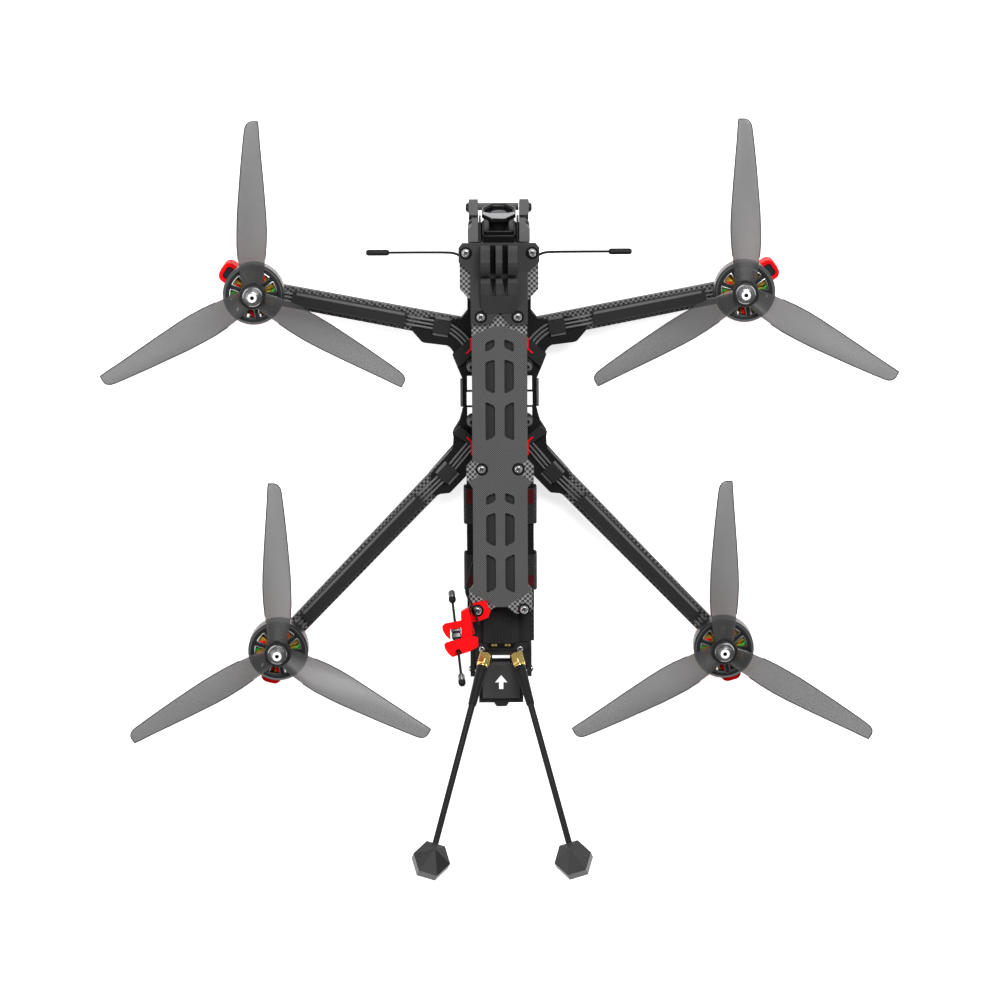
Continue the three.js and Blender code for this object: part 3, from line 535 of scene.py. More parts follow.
def bell_shape():
    """A grooved ring with nine spokes round a raised middle."""
    edge, rim = BELL_RADIUS, BELL_RADIUS - 0.3
    shape = Shape()
    shape.lathe([(15.2, BELL_LOW), (rim, BELL_LOW), (edge, BELL_LOW + 0.4), (edge, 36), (rim, 36.2),
                 (rim, 36.6), (edge, 36.8), (edge, BELL_TOP - 1.5), (15.6, BELL_TOP), (13.5, BELL_TOP),
                 (13.1, BELL_TOP - 0.4), (13.1, 39.9), (15.2, 39.4)], 72, around=True)
    shape.lathe([(2.5, 39.6), (6.2, 39.6), (6.4, 39.9), (6.4, 42.3), (5.9, 42.8), (2.5, 42.8)], around=True)
    for i in range(SPOKES):
        outline = [(5.9, -0.85), (13.6, -1.05), (13.6, 1.05), (5.9, 0.85)]
        shape.prism(outline, 39.9, SPOKE_TOP, spun(i * 360 / SPOKES))
    return shape


def bell_trim_shape():
    """Bright machined chamfers round every window of the bell."""
    shape = Shape()
    step = 360 / SPOKES
    for i in range(SPOKES):
        inner = arc((0, 0), 6.8, 9.5, step - 9.5, 5)
        outer = arc((0, 0), 12.95, step - 5.8, 5.8, 9)
        path = at_height(inner + outer, SPOKE_TOP)
        shape.sweep(path, [(-0.2, -0.3), (0.2, -0.3), (0.2, 0.1), (-0.2, 0.18)], spun(i * step),
                    level=True, around=True)
    return shape


def bell_crown_shape():
    """Two thin machined lines: the top of the bell's chamfer, and the chamfer's foot."""
    shape = Shape()
    for radius, height in ((15.45, 41.95), (16.6, 40.55)):
        shape.lathe([(radius - 0.14, height - 0.15), (radius + 0.14, height - 0.15),
                     (radius + 0.14, height + 0.06), (radius - 0.14, height + 0.06)], 72, around=True)
    return shape


TEETH, TOOTH_LOW, TOOTH_HIGH, COIL_TURNS = 12, 29.6, 37.8, 6


def stator_shapes():
    """The motor's base, a laminated core with twelve teeth, and their windings."""
    core, coils = Shape(), Shape()
    base = Shape().lathe([(2.9, ARM_TOP), (13.2, ARM_TOP), (13.2, 26.6), (12.6, 27), (5.4, 27.4),
                          (4.6, 29.4), (2.9, 29.4)], around=True)
    core.lathe([(2.9, TOOTH_LOW), (5.6, TOOTH_LOW), (5.6, 37.6), (2.9, 37.6)], 36, around=True)
    for i in range(TEETH):
        turn = spun(i * 360 / TEETH)
        core.box((5, -1, 30), (12.8, 1, 37.4), turn)
        tip = arc((0, 0), 13.9, -12, 12, 5) + arc((0, 0), 12.7, 12, -12, 5)
        core.prism(tip, TOOTH_LOW, TOOTH_HIGH, turn)
        for level in range(COIL_TURNS):
            grow = 0.25 * math.sin(math.pi * (level + 0.5) / COIL_TURNS)
            width = 1.55 + 0.14 * level + grow
            high = grow + 0.4
            coils.box((6.5 + level, -width, TOOTH_LOW - high), (7.5 + level, width, TOOTH_HIGH + high), turn)
    return base, core, coils


# A blade's section, by half its chord and half its thickness
FOIL = ((-1, 0), (-0.8, 0.55), (-0.4, 0.95), (0, 1), (0.45, 0.85), (0.85, 0.45), (1, 0), (0.85, -0.4),
        (0.45, -0.75), (0, -0.8), (-0.4, -0.7), (-0.8, -0.4))
# A blade's stations: distance out, reach ahead of and behind its line, thickness, and pitch in degrees
BLADE = ((5, 5.3, 5.2, 4.2, 20), (12, 6.9, 5.9, 3.1, 26), (20, 8.0, 6.4, 2.3, 26), (28, 8.7, 7.0, 1.9, 25),
         (36, 8.8, 7.1, 1.7, 22), (44, 8.7, 6.7, 1.5, 19), (52, 8.3, 6.0, 1.35, 16.5),
         (60, 7.8, 5.3, 1.2, 14.5), (68, 7.3, 4.5, 1.1, 13), (77, 6.6, 3.6, 1.0, 11.5),
         (84, 6.0, 2.9, 0.9, 10.3), (90, 5.4, 2.4, 0.8, 9.5), (92.4, 4.9, 2.2, 0.7, 9.2),
         (94, 3.9, 2.0, 0.6, 9), (94.9, 2.6, 1.9, 0.5, 9), (PROP_RADIUS, 1.4, 1.8, 0.4, 9))
BLADE_ROOT_Z = 46.55


def blade_rings(spin):
    rings = []
    for radius, lead, trail, thick, pitch in BLADE:
        slope = math.tan(math.radians(pitch))
        middle, half = (lead - trail) / 2, (lead + trail) / 2
        height = BLADE_ROOT_Z + (PROP_TIP - BLADE_ROOT_Z) * radius / PROP_RADIUS
        ring = []
        for along, up in FOIL:
            across = middle + half * along
            ring.append((radius, spin * across, height + across * slope + up * thick / 2))
        rings.append(ring)
    return rings


def blades_shape(spin):
    shape = Shape()
    for angle in BLADE_ANGLES:
        shape.rings(blade_rings(spin), spun(angle - spin * PHASE))
    return shape


def blade_edge_shape(spin):
    """A thin dark rim along each blade's two edges and round its tip."""
    shape = Shape()
    rings = blade_rings(spin)[2:]
    edge = [ring[0] for ring in rings] + [ring[6] for ring in rings[::-1]]
    for angle in BLADE_ANGLES:
        shape.tube(edge, 0.3, 6, spun(angle - spin * PHASE), level=True)
    return shape


def hub_shape():
    return Shape().lathe([(2.8, PROP_SEAT), (7.1, PROP_SEAT), (7.4, 43.5), (7.4, 48.7), (7, 49.3),
                          (6.3, 49.3), (6.1, 49.9), (5.4, 50), (5.2, 49.6), (2.8, 49.6)], 60, around=True)


def nut_shape():
    """A flanged lock nut: its hexagon has round shoulders and a domed collar."""
    shape = Shape().lathe([(2.85, 50.2), (5.3, 50.2), (5.4, 50.5), (4.9, 51.3), (2.85, 51.5)], around=True)
    hexagon = circle(4.55, 6, 30)
    shape.rings([at_height(hexagon, 51.2), at_height(hexagon, 54.2), at_height(hexagon, 54.7, 0.93)])
    return shape.lathe([(2.7, 54.6), (3.7, 54.6), (3.5, 55.3), (2.7, 55.5)], 36, around=True)


def shaft_shape():
    return Shape().lathe([(0, 53.2), (1.15, 53.2), (1.15, 55.9), (1.3, 56), (2.1, 56), (2.5, 55.6),
                          (2.5, 26.8), (0, 26.8)], 36)


def placed(shape, place):
    shape.points = [place @ p for p in shape.points]
    return shape


WINDING_ENDS = (("red_wire", 158), ("green_wire", 176), ("red_wire", 196), ("red_wire", 268),
                ("green_wire", 12), ("red_wire", 62), ("green_wire", 118))
WINDING_ROUTE = ((8.6, -9, 38.2), (10.2, -5, 39), (11.6, 0, 38.9), (12.4, 5, 38.4))  # radius, turn, height


def build_motor(corner):
    """One motor and its propeller. The base, the core and the windings stay still."""
    spin = SPIN[corner]
    here = at(*MOTORS[corner])

    def add(name, shape, material, body=f"rotor_{corner}", **options):
        return make(f"{name}_{corner}", placed(shape, here), material, body, **options)

    add("bell", bell_shape(), "bell_ring", bevel=0.12, replaces=[f"motor_bell_{corner}"])
    add("bell_trim", bell_trim_shape(), "bright")
    add("bell_crown", bell_crown_shape(), "bright")
    add("shaft", shaft_shape(), "shaft")
    # A near-black plug inside the shaft's open top: painted shade in the hollow
    add("shaft_bore_shade", Shape().lathe([(0, 53.25), (1.1, 53.25), (1.1, 55.4), (0, 55.3)], 24), "void")
    add("blades", blades_shape(spin), "smoke", soft_angle=50, replaces=[f"propeller_{corner}"])
    add("blade_edge", blade_edge_shape(spin), "blade_edge")
    add("hub", hub_shape(), "hub")
    ring = Shape().lathe([(4.85, 51.1), (5.2, 50.7), (5.42, 50.75), (5.0, 51.4)], around=True)
    add("nut_ring", ring, "bright", slot="steel")
    add("nut", nut_shape(), "nut", bevel=0.1, replaces=[f"prop_nut_{corner}"])
    base, core, coils = stator_shapes()
    add("motor_base", base, "anodised", "airframe", bevel=0.15, replaces=[f"motor_stator_{corner}"])
    add("stator_core", core, "lamination", "airframe")
    add("stator_coils", coils, "copper", "airframe", bevel=0.25)
    for index, (material, angle) in enumerate(WINDING_ENDS):
        path = smooth([polar(radius, angle + turn) + (z,) for radius, turn, z in WINDING_ROUTE], 5)
        add(f"winding_end_{index + 1}", Shape().tube(path, 0.75, 10), material, "airframe")
    build_foot(corner, here)


# ---------- feet
FOOT_LOW, FOOT_SEAT, FOOT_HIGH = 12.4, 16.4, 27.7


def build_foot(corner, here):
    """A soft loop that stands proud of the motor, round a dark pad, on a tapered leg."""
    turn = here @ spun(FOOT_ANGLE[corner])

    def loop(inset, start):
        half, corner_radius = 5.7 - inset, 3.8 - inset
        return ([(start, -half)] + arc((18, -1.9), corner_radius, -90, 0, 6)
                + arc((18, 1.9), corner_radius, 0, 90, 6) + [(start, half)])

    outer, inner, hollow = loop(0, 14.6), loop(2.2, 16.2), FOOT_HIGH - 2.6
    shape = Shape().prism(outer, FOOT_LOW, hollow)
    shape.rings([at_height(outer, hollow), at_height(outer, FOOT_HIGH), at_height(inner, FOOT_HIGH),
                 at_height(inner, hollow)], around=True)
    shape.lathe([(0, FOOT_SEAT), (12.2, FOOT_SEAT), (12.6, 16.8), (12.6, 18.9), (0, 18.9)], 40)
    shape.box((6, -4.5, FOOT_LOW), (15, 4.5, 17))
    shape.rings([[(back, -half, z), (front, -half, z), (point, 0, z), (front, half, z), (back, half, z)]
                 for back, front, point, half, z in
                 ((7, 18, 19.5, 4, 13.2), (12, 18, 19.2, 3.1, 1), (12.6, 17.6, 18.6, 2.5, 0))])
    make(f"foot_{corner}", placed(shape, turn), "tpu_red", bevel=0.45, replaces=[f"motor_foot_{corner}"])
    pad = Shape().prism(loop(2.4, 16.4), hollow - 0.3, FOOT_HIGH - 1.1)
    make(f"foot_pad_{corner}", placed(pad, turn), "pad", bevel=0.3)


# ---------- motor leads, clips and blocks
LEAD_LOW, LEAD_OVER, LEAD_END = 26.3, 28.8, 29.8
COVER_END = {"front": 84.4, "rear": 114.6}
LEAD_ENDS = {"front": ((34, 80.4), (27, 78.6), (20, 73), (15.6, 66.6)),
             "rear": ((29, -1.5), (24, 4.2), (19.6, 9.5), (14.6, 15.4))}


def arm_point(corner, u, v=0.0):
    """The point u along an arm from its motor, and v to the side of its middle line."""
    motor, root = Vector(MOTORS[corner]), Vector(ROOTS[corner])
    along = (root - motor).normalized()
    point = motor + along * u + Vector((-along.y, along.x)) * v
    return point.x, point.y


def lead_path(corner):
    """Under the cover, up over the step to the middle plate, and through the clip to the deck."""
    end_name = end_of(corner)
    end = COVER_END[end_name]
    points = [arm_point(corner, u) + (LEAD_LOW,) for u in (15.2, end * 0.45, end * 0.8, end - 5)]
    points.append(arm_point(corner, end - 0.5) + (LEAD_LOW + 0.3,))
    points.append(arm_point(corner, end + (3.8 if end_name == "front" else 6)) + (LEAD_OVER,))
    points += [(side_of(corner) * x, y, LEAD_OVER) for x, y in LEAD_ENDS[end_name]]
    points[-1] = points[-1][:2] + (LEAD_END,)
    return smooth(points)


def beside(path, offset):
    """The same level path, moved sideways."""
    moved = []
    for i, point in enumerate(path):
        along = path[min(i + 1, len(path) - 1)] - path[max(i - 1, 0)]
        across = Vector((-along.y, along.x, 0)).normalized()
        moved.append(point + across * offset)
    return moved


def build_leads(corner):
    path = lead_path(corner)
    for index, offset in enumerate((-2.1, 0, 2.1)):
        make(f"lead_{index + 1}_{corner}", Shape().tube(beside(path, offset), 0.66), "wire",
             replaces=[f"motor_leads_{corner}"])


CLIPS = {"front": (31.7, 79.6, 10), "rear": (29.2, -2.3, -48)}  # x and y on the right side, and turn


def build_clip(corner):
    """A printed saddle over the three leads, with a flange on either side of its crown."""
    x, y, angle = CLIPS[end_of(corner)]
    side = side_of(corner)
    place = at(side * x, y) @ spun(side * angle)
    crown = Shape().box((-4.7, -3.6, 29.7), (4.7, 3.6, 30.6), place)
    flanges = Shape()
    for across in (-3.25, 3.25):
        crown.box((-4.7, across - 0.35, DECK), (4.7, across + 0.35, 30.4), place)
    for across in (-4.55, 4.55):
        flanges.box((-4.2, across - 0.85, DECK), (4.2, across + 0.85, 28.6), place)
    make(f"clip_{corner}", crown, "tpu_black", bevel=0.35)
    make(f"clip_flanges_{corner}", flanges, "tpu_ear", bevel=0.3)


def screw(shape, socket, spot, radius=2.55):
    """A button head with a hexagonal socket."""
    bore = radius * 0.42
    shape.lathe([(bore, 0.35), (bore, radius * 0.62), (radius * 0.62, radius * 0.6), (radius * 0.86, bore),
                 (radius, 0.25), (radius, 0), (bore, 0)], 36, spot, around=True)
    # The socket's floor, which callers colour darker than the head: painted shade in the recess
    socket.prism(circle(bore * 1.02, 6), 0.05, radius * 0.28, spot)


HOLDER_PLATE = 2.8  # the antenna holder lies under the left tail screw


def build_screws():
    """Screws through the roof and the belly, with a black ring round each roof screw's head as painted
    shadow.
    """
    heads, sockets, shadow_rings = Shape(), Shape(), Shape()
    for x, y, z in ((17.9, 124.8, ROOF + 3), (10, 89.9, ROOF + 3), (10, 5.4, ROOF), (12.8, -72.9, ROOF)):
        for side in SIDES:
            height = z + HOLDER_PLATE if (side < 0 and y < 0) else z
            # A black ring under each roof head: painted shadow round the head
            shadow_rings.lathe([(2.3, 0), (3.4, 0), (3.4, 0.3), (3.1, 0.45), (2.3, 0.45)], 36,
                          at(side * x, y, height), around=True)
            screw(heads, sockets, at(side * x, y, height + 0.05))
    make("deck_screws", heads, "screw", bevel=0.08)
    make("deck_screw_sockets", sockets, "socket")
    make("deck_screw_shadow_rings", shadow_rings, "void")
    heads, sockets = Shape(), Shape()
    over = Matrix.Rotation(math.pi, 4, "X")
    for x, y in ((14.3, 120.3), (10, 89.9), (10, 5.4), (12.8, -72.9)):
        for side in SIDES:
            screw(heads, sockets, at(side * x, y, BELLY) @ over, 2.7)
    make("belly_screws", heads, "screw", bevel=0.08)
    make("belly_screw_sockets", sockets, "void")


FRONT_SHOULDER = ((25.8, 64.3), (17.3, 72.6), (13.4, 71.6), (13.4, 64.9), (22.5, 57))
REAR_SHOULDER = ((25.9, 20.7), (22, 24.8), (13.7, 17.4), (13.8, 11.8), (17.3, 14.2), (25.2, 19.5))
STACK_Y, STACK_HALF, STACK_TOP = 44.1, 15.25, 43.2  # the square of screws that holds both boards


def build_deck_trim():
    """Blocks, strips and stack hardware on the middle plate beside the top plate."""
    blocks, bars, strips = Shape(), Shape(), Shape()
    flat = [(-0.45, -0.4), (0.45, -0.4), (0.45, 0.4), (-0.45, 0.4)]
    routes = (((15.7, 73.6, 30.4), (15.7, 67.4, 30.6), (18.3, 64.9, 30.9)),
              ((18.2, 18.1, 30.9), (15.6, 15.8, 30.6), (15.6, 8.2, 30.4)))
    for side in SIDES:
        for outline in (FRONT_SHOULDER, REAR_SHOULDER):
            blocks.prism([(side * x, y) for x, y in outline], DECK, 30.5)
        bars.box((side * 21 - 0.7, 35.1, 25.4), (side * 21 + 0.7, 50.4, 30))
        for route in routes:
            strips.sweep([(side * x, y, z) for x, y, z in route], flat, level=True)
    make("shoulder_blocks", blocks, "tpu_black", bevel=0.4)
    make("side_guards", bars, "tpu_ear", bevel=0.35)
    make("red_strips", strips, "red_wire", slot="red_tpu", bevel=0.1)
    posts, heads, sockets = Shape(), Shape(), Shape()
    for sx in SIDES:
        for sy in SIDES:
            x, y = sx * STACK_HALF, STACK_Y + sy * STACK_HALF
            posts.lathe([(0, DECK), (2.4, DECK), (2.4, 31.4), (1.4, 31.5), (1.4, 33.2), (2.3, 33.3),
                         (2.3, 41.4), (1.4, 41.5), (1.4, STACK_TOP), (0, STACK_TOP)], 24, at(x, y))
            screw(heads, sockets, at(x, y, STACK_TOP), 2.6)
    make("stack_posts", posts, "rubber")
    make("stack_screws", heads, "tpu_ear", slot="steel", bevel=0.08)
    make("stack_screw_sockets", sockets, "void")


CHIPS = ((-6, 50, 7, 7, 1.1), (6, 38, 6, 6, 1), (0, 57, 4, 3, 0.8), (-8, 34, 5, 3, 1.2), (8, 52, 3, 5, 0.9),
         (7, 29.5, 8, 4, 2.2), (-6, 28.6, 8, 4, 2.2))  # x, y, width, depth and height


def build_electronics():
    """Chips, capacitors and pads on both boards, the transmitter's cooling fins, and the roof's inlay."""
    chips, pads, cans, fins = Shape(), Shape(), Shape(), Shape()
    for top in (36.5, 45.5):
        for x, y, width, depth, height in CHIPS:
            chips.box((x - width / 2, y - depth / 2, top), (x + width / 2, y + depth / 2, top + height))
        for i in range(10):
            for x in (-12.4, 12.4):
                pads.box((x - 0.8, 31 + i * 2.8, top), (x + 0.8, 32.4 + i * 2.8, top + 0.35))
    for x in (-4, 5):
        cans.lathe([(0, 31), (3.6, 31), (4, 31.4), (4, 44.2), (3.6, 44.8), (0, 44.8)], 28, at(x, 68.2))
    for i in range(11):
        fins.box((-13 + i * 2.4, -64, 44.8), (-12 + i * 2.4, -36, 48.6))
    make("board_chips", chips, "chip", bevel=0.12)
    make("board_pads", pads, "solder", bevel=0.1)
    make("capacitors", cans, "module")
    make("transmitter_fins", fins, "anodised", slot="module_case", bevel=0.12)
    make("roof_inlay", Shape().box((-9.6, -67, TOP - 0.75), (9.6, 80, TOP - 0.05)), "inlay", bevel=0.1)


def build_cover_ridges(corner):
    """Raised rails along both edges of an arm cover, the one on the front side broader and lighter: its
    lighter grey is a painted highlight along the cover's edge.
    """
    length = COVER_END[end_of(corner)]
    # The front rail's lighter finish is a painted highlight along the cover's front edge
    for name, material, across, half in (("front", "tpu_ear", 2.9, 0.75), ("rear", "tpu_mount", -3.35, 0.3)):
        path = [arm_point(corner, u, -side_of(corner) * across) + (29.1,) for u in (23, length - 1)]
        section = [(-half, -0.25), (half, -0.25), (half, 0.12), (half - 0.2, 0.28), (0.2 - half, 0.28),
                   (-half, 0.12)]
        make(f"cover_ridge_{name}_{corner}", Shape().sweep(path, section, level=True), material, bevel=0.08)


# ---------- nose: camera, cage details and antenna
CAMERA_PIVOT, CAMERA_TILT = (0, 132.4, 37), 20
LENS_RADIUS, LENS_Z, LENS_UP = 5.7, 10.8, 2.2
# The opening in the bezel, which is widest above the lens and thins to a line below it
BEZEL_OPENING = ((8.6, 3.57), (3.57, 8.6), (-3.57, 8.6), (-8.6, 3.57), (-8.6, -0.4), (-5, -2), (5, -2),
                 (8.6, -0.4))


def build_camera():
    """A case between two trunnions, with a barrel, an eight-sided hood, a bright bezel and a domed lens."""
    place = at(*CAMERA_PIVOT) @ Matrix.Rotation(math.radians(CAMERA_TILT), 4, "X")
    forward = place @ Matrix.Rotation(math.radians(-90), 4, "X")  # its Z runs out of the lens
    body = Shape().prism(rounded(9.3, 9.3, 1.6), -8.6, 3.2, forward)
    body.prism(rounded(8.4, 8.4, 2.2), 3.1, 5.5, forward)
    marks = Shape()
    for side in SIDES:
        trunnion = place @ at(side * 8.4) @ Matrix.Rotation(side * math.pi / 2, 4, "Y")
        body.lathe([(0, 0), (2.6, 0), (2.6, 1.1), (0, 1.1)], 20, trunnion)
        marks.box((side * 7.3 - 0.9, 5.1, 7.6), (side * 7.3 + 0.9, 6.1, 8.3), place)
    barrel = Shape().lathe([(0, 5.2), (5.4, 5.2), (5.5, 6.5), (5.9, 8.2), (6.9, 9.6), (8.3, 10.6),
                            (8.6, 11.2), (0, 11.2)], place=forward)
    octagon = circle(10.3, 8, 22.5)
    hood = Shape().rings([at_height(octagon, z, k) for k, z in
                          ((0.84, 10.4), (0.97, 11.4), (0.97, 13.4), (0.9, 13.6), (0.8, 12.6), (0.8, 10.8))],
                         forward, around=True)
    recess = [(x * 0.9, y * 0.9 + 0.4) for x, y in BEZEL_OPENING]
    bezel = Shape().rings([at_height(octagon, 13.1, 0.97), at_height(octagon, 13.75, 0.95),
                           at_height(BEZEL_OPENING, 13.3), at_height(recess, 11.6)], forward, around=True)
    rim = LENS_Z + 0.6
    dome = [polar(1, angle) for angle in range(10, 90, 10)]
    lens = [(0, LENS_Z), (LENS_RADIUS, LENS_Z), (LENS_RADIUS, rim)]
    lens += [(LENS_RADIUS * out, rim + 1.3 * up) for out, up in dome] + [(0, rim + 1.3)]
    glass = Shape().lathe(lens, place=forward @ at(0, LENS_UP, -0.6))
    make("camera_case", body, "camera", "camera", bevel=0.35, replaces=["fpv_camera"])
    make("camera_barrel", barrel, "camera", "camera")
    make("camera_hood", hood, "camera", "camera", bevel=0.15)
    make("camera_bezel", bezel, "nut", "camera", "bright_edge", bevel=0.1)
    make("camera_lens", glass, "lens", "camera")
    make("camera_latches", marks, "module", "camera", "camera_body", bevel=0.15)


NOSE_ROD_Z, NOSE_TIP_X, NOSE_TIP_Y = ROOF + 1.2, 59.5, 125.1
# Half of the nose antenna's rod, from its tip inwards
NOSE_ROD = ((60, NOSE_TIP_Y), (42, NOSE_TIP_Y), (29, 125), (24.5, 124.6), (21, 123.2), (17, 121.4),
            (12, 120.9))


def build_nose():
    """The cage's screws and liners, black sheets of painted shade in the prongs' slots, and the antenna with
    its tips.
    """
    heads, sockets, slot_shade, liners, tips = Shape(), Shape(), Shape(), Shape(), Shape()
    for side in SIDES:
        for x, y, z in ((16.4, 147.4, 44.5), (14.8, 137.1, 37)):
            screw(heads, sockets, axis_place((side * x, y, z), (side, 0, 0)), 2.7)
        slot = side * 3.3
        # Near-black sheets on the floors of the slots between the prongs: painted shade
        slot_shade.box((slot - 1.5, 113.6, 64.02), (slot + 1.5, 129.2, 64.2))
        slot_shade.prism([(slot - 1.5, 111), (slot + 1.5, 111), (slot, 102.4)], 64.02, 64.2)
        liners.box((side * 10.3 - 0.5, 128.2, 28), (side * 10.3 + 0.5, 141.2, 44))
        end = axis_place((side * NOSE_TIP_X, NOSE_TIP_Y, NOSE_ROD_Z), (side, 0, 0))
        tips.lathe([(0, 0), (1.1, 0), (1.6, 0.6), (1.7, 1.4), (1.7, 11), (1.5, 12), (0.9, 12.5), (0, 12.5)],
                   20, end)
    path = [(-x, y, NOSE_ROD_Z) for x, y in NOSE_ROD] + [(x, y, NOSE_ROD_Z) for x, y in NOSE_ROD[::-1]]
    rod = Shape().tube(smooth(path, 6), 0.7)
    make("cage_screws", heads, "anodised", slot="steel", bevel=0.1)
    make("cage_screw_sockets", sockets, "void")
    make("prong_slot_shade", slot_shade, "void", slot="black_tpu", bevel=0.05)
    make("cage_liners", liners, "tpu_mount", bevel=0.15)
    make("nose_antenna_rod", rod, "rubber", replaces=["nose_antenna"])
    make("nose_antenna_tips", tips, "antenna", slot="black_silicone")


# ---------- battery straps
STRAP_PRINTS = {"front": (-11.6, -19.6), "rear": (-60, -66)}


def build_strap(name, centre_y):
    """A webbing loop round the belly, its stitched end below, and a grip print at each side."""
    low, high, wide, thick = 14.6, 29.2, 10, 0.62
    outline = rounded(19.65, (high - low) / 2 - 0.65, 1.6, 6)
    path = [(x, centre_y, z + (low + high) / 2) for x, z in outline[6:] + outline[:6]]
    across = [(-wide, -0.3), (0.5 - wide, -thick), (wide - 0.5, -thick), (wide, -0.3)]
    strap = Shape().sweep(path, across + [(-a, -b) for a, b in across], around=True)
    make(f"strap_{name}", strap, "webbing", soft_angle=50, replaces=[f"battery_strap_{name}"])
    prints = Shape()
    start, end = STRAP_PRINTS[name]
    reach = abs(end - start) / 8 - 0.12
    for x in (-17, 17):
        for i in range(4):
            y = start + (end - start) * (i + 0.5) / 4
            prints.box((x - 1.6, y - reach, high - 0.05), (x + 1.6, y + reach, high + 0.12))
    make(f"strap_print_{name}", prints, "red_print", bevel=0.05)
    patch = Shape().box((-9, centre_y - 9.6, low - 0.9), (11, centre_y + 9.6, low - 0.02))
    make(f"strap_end_{name}", patch, "webbing", bevel=0.25)


# ---------- tail
def build_belly():
    """Strips of grip pad under the bottom plate, where a battery would be strapped."""
    pad = Shape()
    for i in range(12):
        y = -76 + i * 6.4
        pad.box((-9.4, y, BELLY - 0.5), (9.4, y + 5.2, BELLY - 0.02))
    make("belly_grip", pad, "rubber", bevel=0.3)


def build_tail():
    """Ribs, a four-pin socket, screws and a plain arrow on the tail's mount and its positioning module."""
    ribs, pins, heads, sockets = Shape(), Shape(), Shape(), Shape()
    for i in range(7):
        x = -5.4 + i * 1.8
        ribs.box((x - 0.3, -94.2, 45.9), (x + 0.3, -78.6, 46.4))
    housing = Shape().prism(rounded(7.4, 1.7, 0.6), 44.8, 45.9, at(0, -96.1))
    for x in (-4.55, -2.85, 2.85, 4.55):
        pins.prism(rounded(0.68, 0.55, 0.2, 3), 45.6, 46.5, at(x, -96))
    for side in SIDES:
        screw(heads, sockets, at(side * 10.5, -98.4, 45), 1.9)
        screw(heads, sockets, axis_place((side * 17, -111.6, 36), (side, 0, 0)), 1.9)
    arrow = Shape().prism([(0, -113.6), (-3.4, -117.6), (-1.2, -117.6), (-1.2, -121.4), (1.2, -121.4),
                           (1.2, -117.6), (3.4, -117.6)], 43.9, 44.12)
    make("tail_ribs", ribs, "tpu_black", slot="moulded_nylon", bevel=0.12)
    make("tail_socket", housing, "void", bevel=0.2)
    make("tail_pins", pins, "brass")
    make("tail_screws", heads, "screw", bevel=0.07)
    make("tail_screw_sockets", sockets, "socket")
    make("forward_arrow", arrow, "white")


VIDEO_FOOT, VIDEO_HEAD = Vector((8.6, -100.8, 47.4)), Vector((36.2, -190.3, 117))
GEM_RADIUS, GEM_HEIGHT = 10.4, 7.5


def build_video_antenna(name, side):
    """A brass connector, a sleeve that thins to a stalk, and a faceted head."""
    foot, head = [Vector((side * end.x, end.y, end.z)) for end in (VIDEO_FOOT, VIDEO_HEAD)]
    along, length = (head - foot).normalized(), (head - foot).length
    place = axis_place(foot, along)
    hexagon = circle(3.7, 6, 30)
    nut = Shape().rings([at_height(hexagon, z, k) for k, z in ((0.9, 0), (1, 0.4), (1, 6.4), (0.92, 6.9))],
                        place)
    nut.lathe([(0, 6.8), (3.1, 6.8), (3.1, 8), (2.7, 8.5), (0, 8.5)], 28, place)
    stalk = Shape().lathe([(0, 7.2), (2.95, 7.2), (3.05, 8), (2.95, 12), (2.5, 25), (2.35, 30), (2.3, 31.6),
                           (2, 31.9), (1.8, 32.4), (1.75, length + 2), (0, length + 2)], 28, place)
    across = Vector((along.y, -along.x, 0)).normalized()
    turn = Matrix((across, -along, across.cross(along))).transposed().to_4x4()
    half, tip = GEM_HEIGHT / 2, 0.02
    rings = [[(x, y + lean, z) for x, y in circle(radius, 6)] for radius, lean, z in
             ((tip, 0, -half - 3), (GEM_RADIUS, 0, -half), (GEM_RADIUS, 0, half), (tip, 3.6, half + 5.4))]
    gem = Shape().rings(rings, Matrix.Translation(foot + along * (length + GEM_RADIUS)) @ turn)
    make(f"antenna_nut_{name}", nut, "brass", bevel=0.15, replaces=[f"video_antenna_{name}"])
    make(f"antenna_stalk_{name}", stalk, "antenna")
    make(f"antenna_head_{name}", gem, "gem", bevel=0.5, soft_angle=15)


RECEIVER_FRONT, RECEIVER_REAR = Vector((-27.2, -62.4, 59)), Vector((-21.2, -110.5, 84.5))


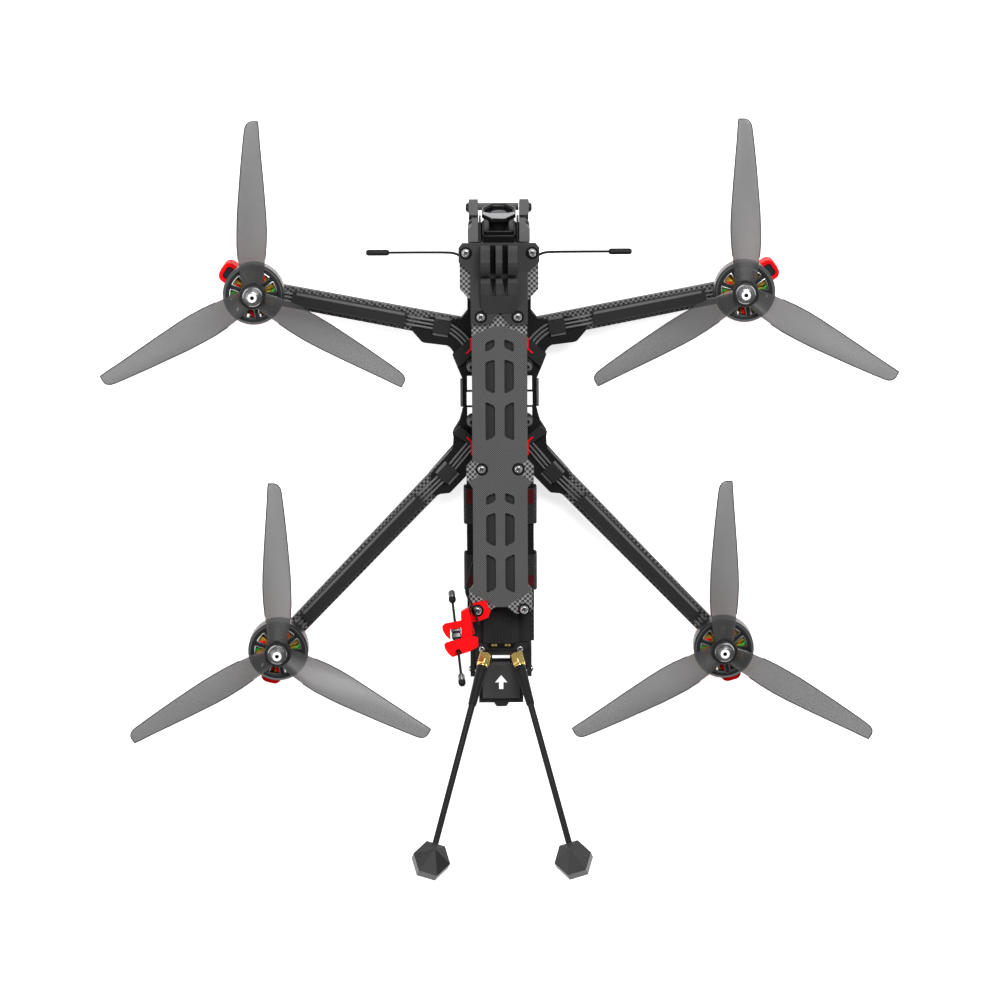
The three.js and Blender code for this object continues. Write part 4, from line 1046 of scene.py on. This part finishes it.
def build_receiver_antenna():
    """A thin rod between two capped sleeves, held at its middle by a core and two small blocks."""
    along = RECEIVER_REAR - RECEIVER_FRONT
    span = along.length
    place = axis_place(RECEIVER_FRONT, along)

    def turned(*profile, steps=24):
        return Shape().lathe(profile, steps, place)

    rod = turned((0, span * 0.08), (0.72, span * 0.08), (0.72, span * 0.92), (0, span * 0.92), steps=14)
    caps = turned((0, 3.9), (1.9, 3.9), (2.05, 4.6), (2, 5.6), (1.5, 6.7), (0.9, 7.1), (0, 7.1))
    caps.lathe([(0, span - 3.6), (1.9, span - 3.6), (2.05, span - 2.6), (1.9, span - 1.2), (1.3, span - 0.3),
                (0.6, span), (0, span)], 24, place)
    sleeves = turned((0, 0), (1.2, 0), (1.7, 0.5), (1.85, 1.2), (1.85, 4), (0, 4))
    sleeves.lathe([(0, span - 7.2), (1.1, span - 7.2), (1.7, span - 6.6), (1.8, span - 5.8),
                   (1.8, span - 3.5), (0, span - 3.5)], 24, place)
    core = turned((0, span * 0.39), (1.9, span * 0.39), (2.05, span * 0.41), (2.05, span * 0.6),
                  (1.6, span * 0.62), (0, span * 0.62))
    blocks = Shape()
    for offset in (21.5, 25):
        blocks.prism(rounded(2.6, 2.2, 0.6, 3), offset, offset + 2.4, place)
    make("receiver_rod", rod, "rubber", replaces=["receiver_antenna"])
    make("receiver_caps", caps, "rubber")
    make("receiver_sleeves", sleeves, "nut")
    make("receiver_core", core, "pad", slot="black_silicone")
    make("receiver_block", blocks, "socket", bevel=0.2)


LEAD_ROUTE = [(-13.6, -44, 50), (-15.4, -49, 51), (-17.2, -54.4, 54), (-18.6, -59.6, 57.6),
              (-18.9, -63.5, 60.4), (-16.8, -67.5, 63.6), (-14.8, -71.6, 66), (-13.3, -76, 67.4),
              (-12, -80, 68.2)]


def build_receiver_lead():
    """The only free cord: from under the deck to the receiver antenna's middle."""
    path = smooth(LEAD_ROUTE, 4)
    lead = make("receiver_coax", Shape().tube(path, 0.65), "rubber", replaces=["receiver_lead"])


# ---------- floor, light and camera
FLOOR_REACH, SKY_LIGHT = 6, 0.3
FLOOR_GLOW = 0.65  # keeps the floor as white as the photograph's background


def lamp(name, place, size, power):
    """A square light that faces the drone."""
    light = bpy.data.lights.new(name, "AREA")
    light.shape = "SQUARE"
    light.size = size
    light.energy = power
    holder = bpy.data.objects.new(name, light)
    holder.location = place
    holder.rotation_euler = (-Vector(place)).to_track_quat("-Z", "Y").to_euler()
    bpy.context.collection.objects.link(holder)


def build_stage():
    """A pale floor, an even sky and two soft lamps."""
    mesh = bpy.data.meshes.new("floor")
    corners = ((-1, -1), (1, -1), (1, 1), (-1, 1))
    mesh.from_pydata([(x * FLOOR_REACH, y * FLOOR_REACH, 0) for x, y in corners], [], [(0, 1, 2, 3)])
    floor = bpy.data.objects.new("floor", mesh)
    bpy.context.collection.objects.link(floor)
    surface = grained("floor", (0.9, 0.9, 0.9), 0.9, 0, 0.1, spread=0.02, depth=0.01)
    shader = surface.node_tree.nodes["Principled BSDF"]
    shader.inputs["Emission Color"].default_value = grey(1)
    shader.inputs["Emission Strength"].default_value = FLOOR_GLOW
    mesh.materials.append(surface)
    world = bpy.data.worlds.new("studio")
    world.use_nodes = True
    sky = world.node_tree.nodes["Background"]
    sky.inputs["Color"].default_value = grey(1)
    sky.inputs["Strength"].default_value = SKY_LIGHT
    bpy.context.scene.world = world
    bpy.context.scene.view_settings.view_transform = "Standard"
    lamp("key", (0.35, 1.1, 2.0), 1.0, 58)
    lamp("fill", (-1.4, 0.2, 1.6), 1.4, 22)


VIEW_TURN = (("X", -10.57), ("Y", -0.05), ("Z", -0.32))
VIEW_OFFSET = (-0.04, -14.21, 2467)  # along the view's own axes, from the middle of the rotors' height


def build_camera_view():
    """A long lens almost straight above, leaning 10.6 degrees."""
    turn = Matrix.Identity(3)
    for axis, degrees in VIEW_TURN:
        turn = turn @ Matrix.Rotation(math.radians(degrees), 3, axis)
    aim = Vector((0, CENTRE_Y, PROP_TIP)) * MM
    lens = bpy.data.cameras.new("view")
    lens.lens = 161.46
    lens.sensor_width = 36
    lens.clip_end = 20
    view = bpy.data.objects.new("view", lens)
    view.matrix_world = Matrix.Translation(aim + turn @ (Vector(VIEW_OFFSET) * MM)) @ turn.to_4x4()
    bpy.context.collection.objects.link(view)
    bpy.context.scene.camera = view


# ---------- build: the camera and the cord come first
build_camera_view()
build_receiver_lead()
build_stage()
dress_frame()
for corner_name in CORNERS:
    build_motor(corner_name)
    build_leads(corner_name)
    build_cover_ridges(corner_name)
    build_clip(corner_name)
build_screws()
build_deck_trim()
build_electronics()
build_camera()
build_nose()
build_strap("front", -21)
build_strap("rear", -58.5)
build_belly()
build_tail()
for side_name, side_sign in (("left", -1), ("right", 1)):
    build_video_antenna(side_name, side_sign)
build_receiver_antenna()
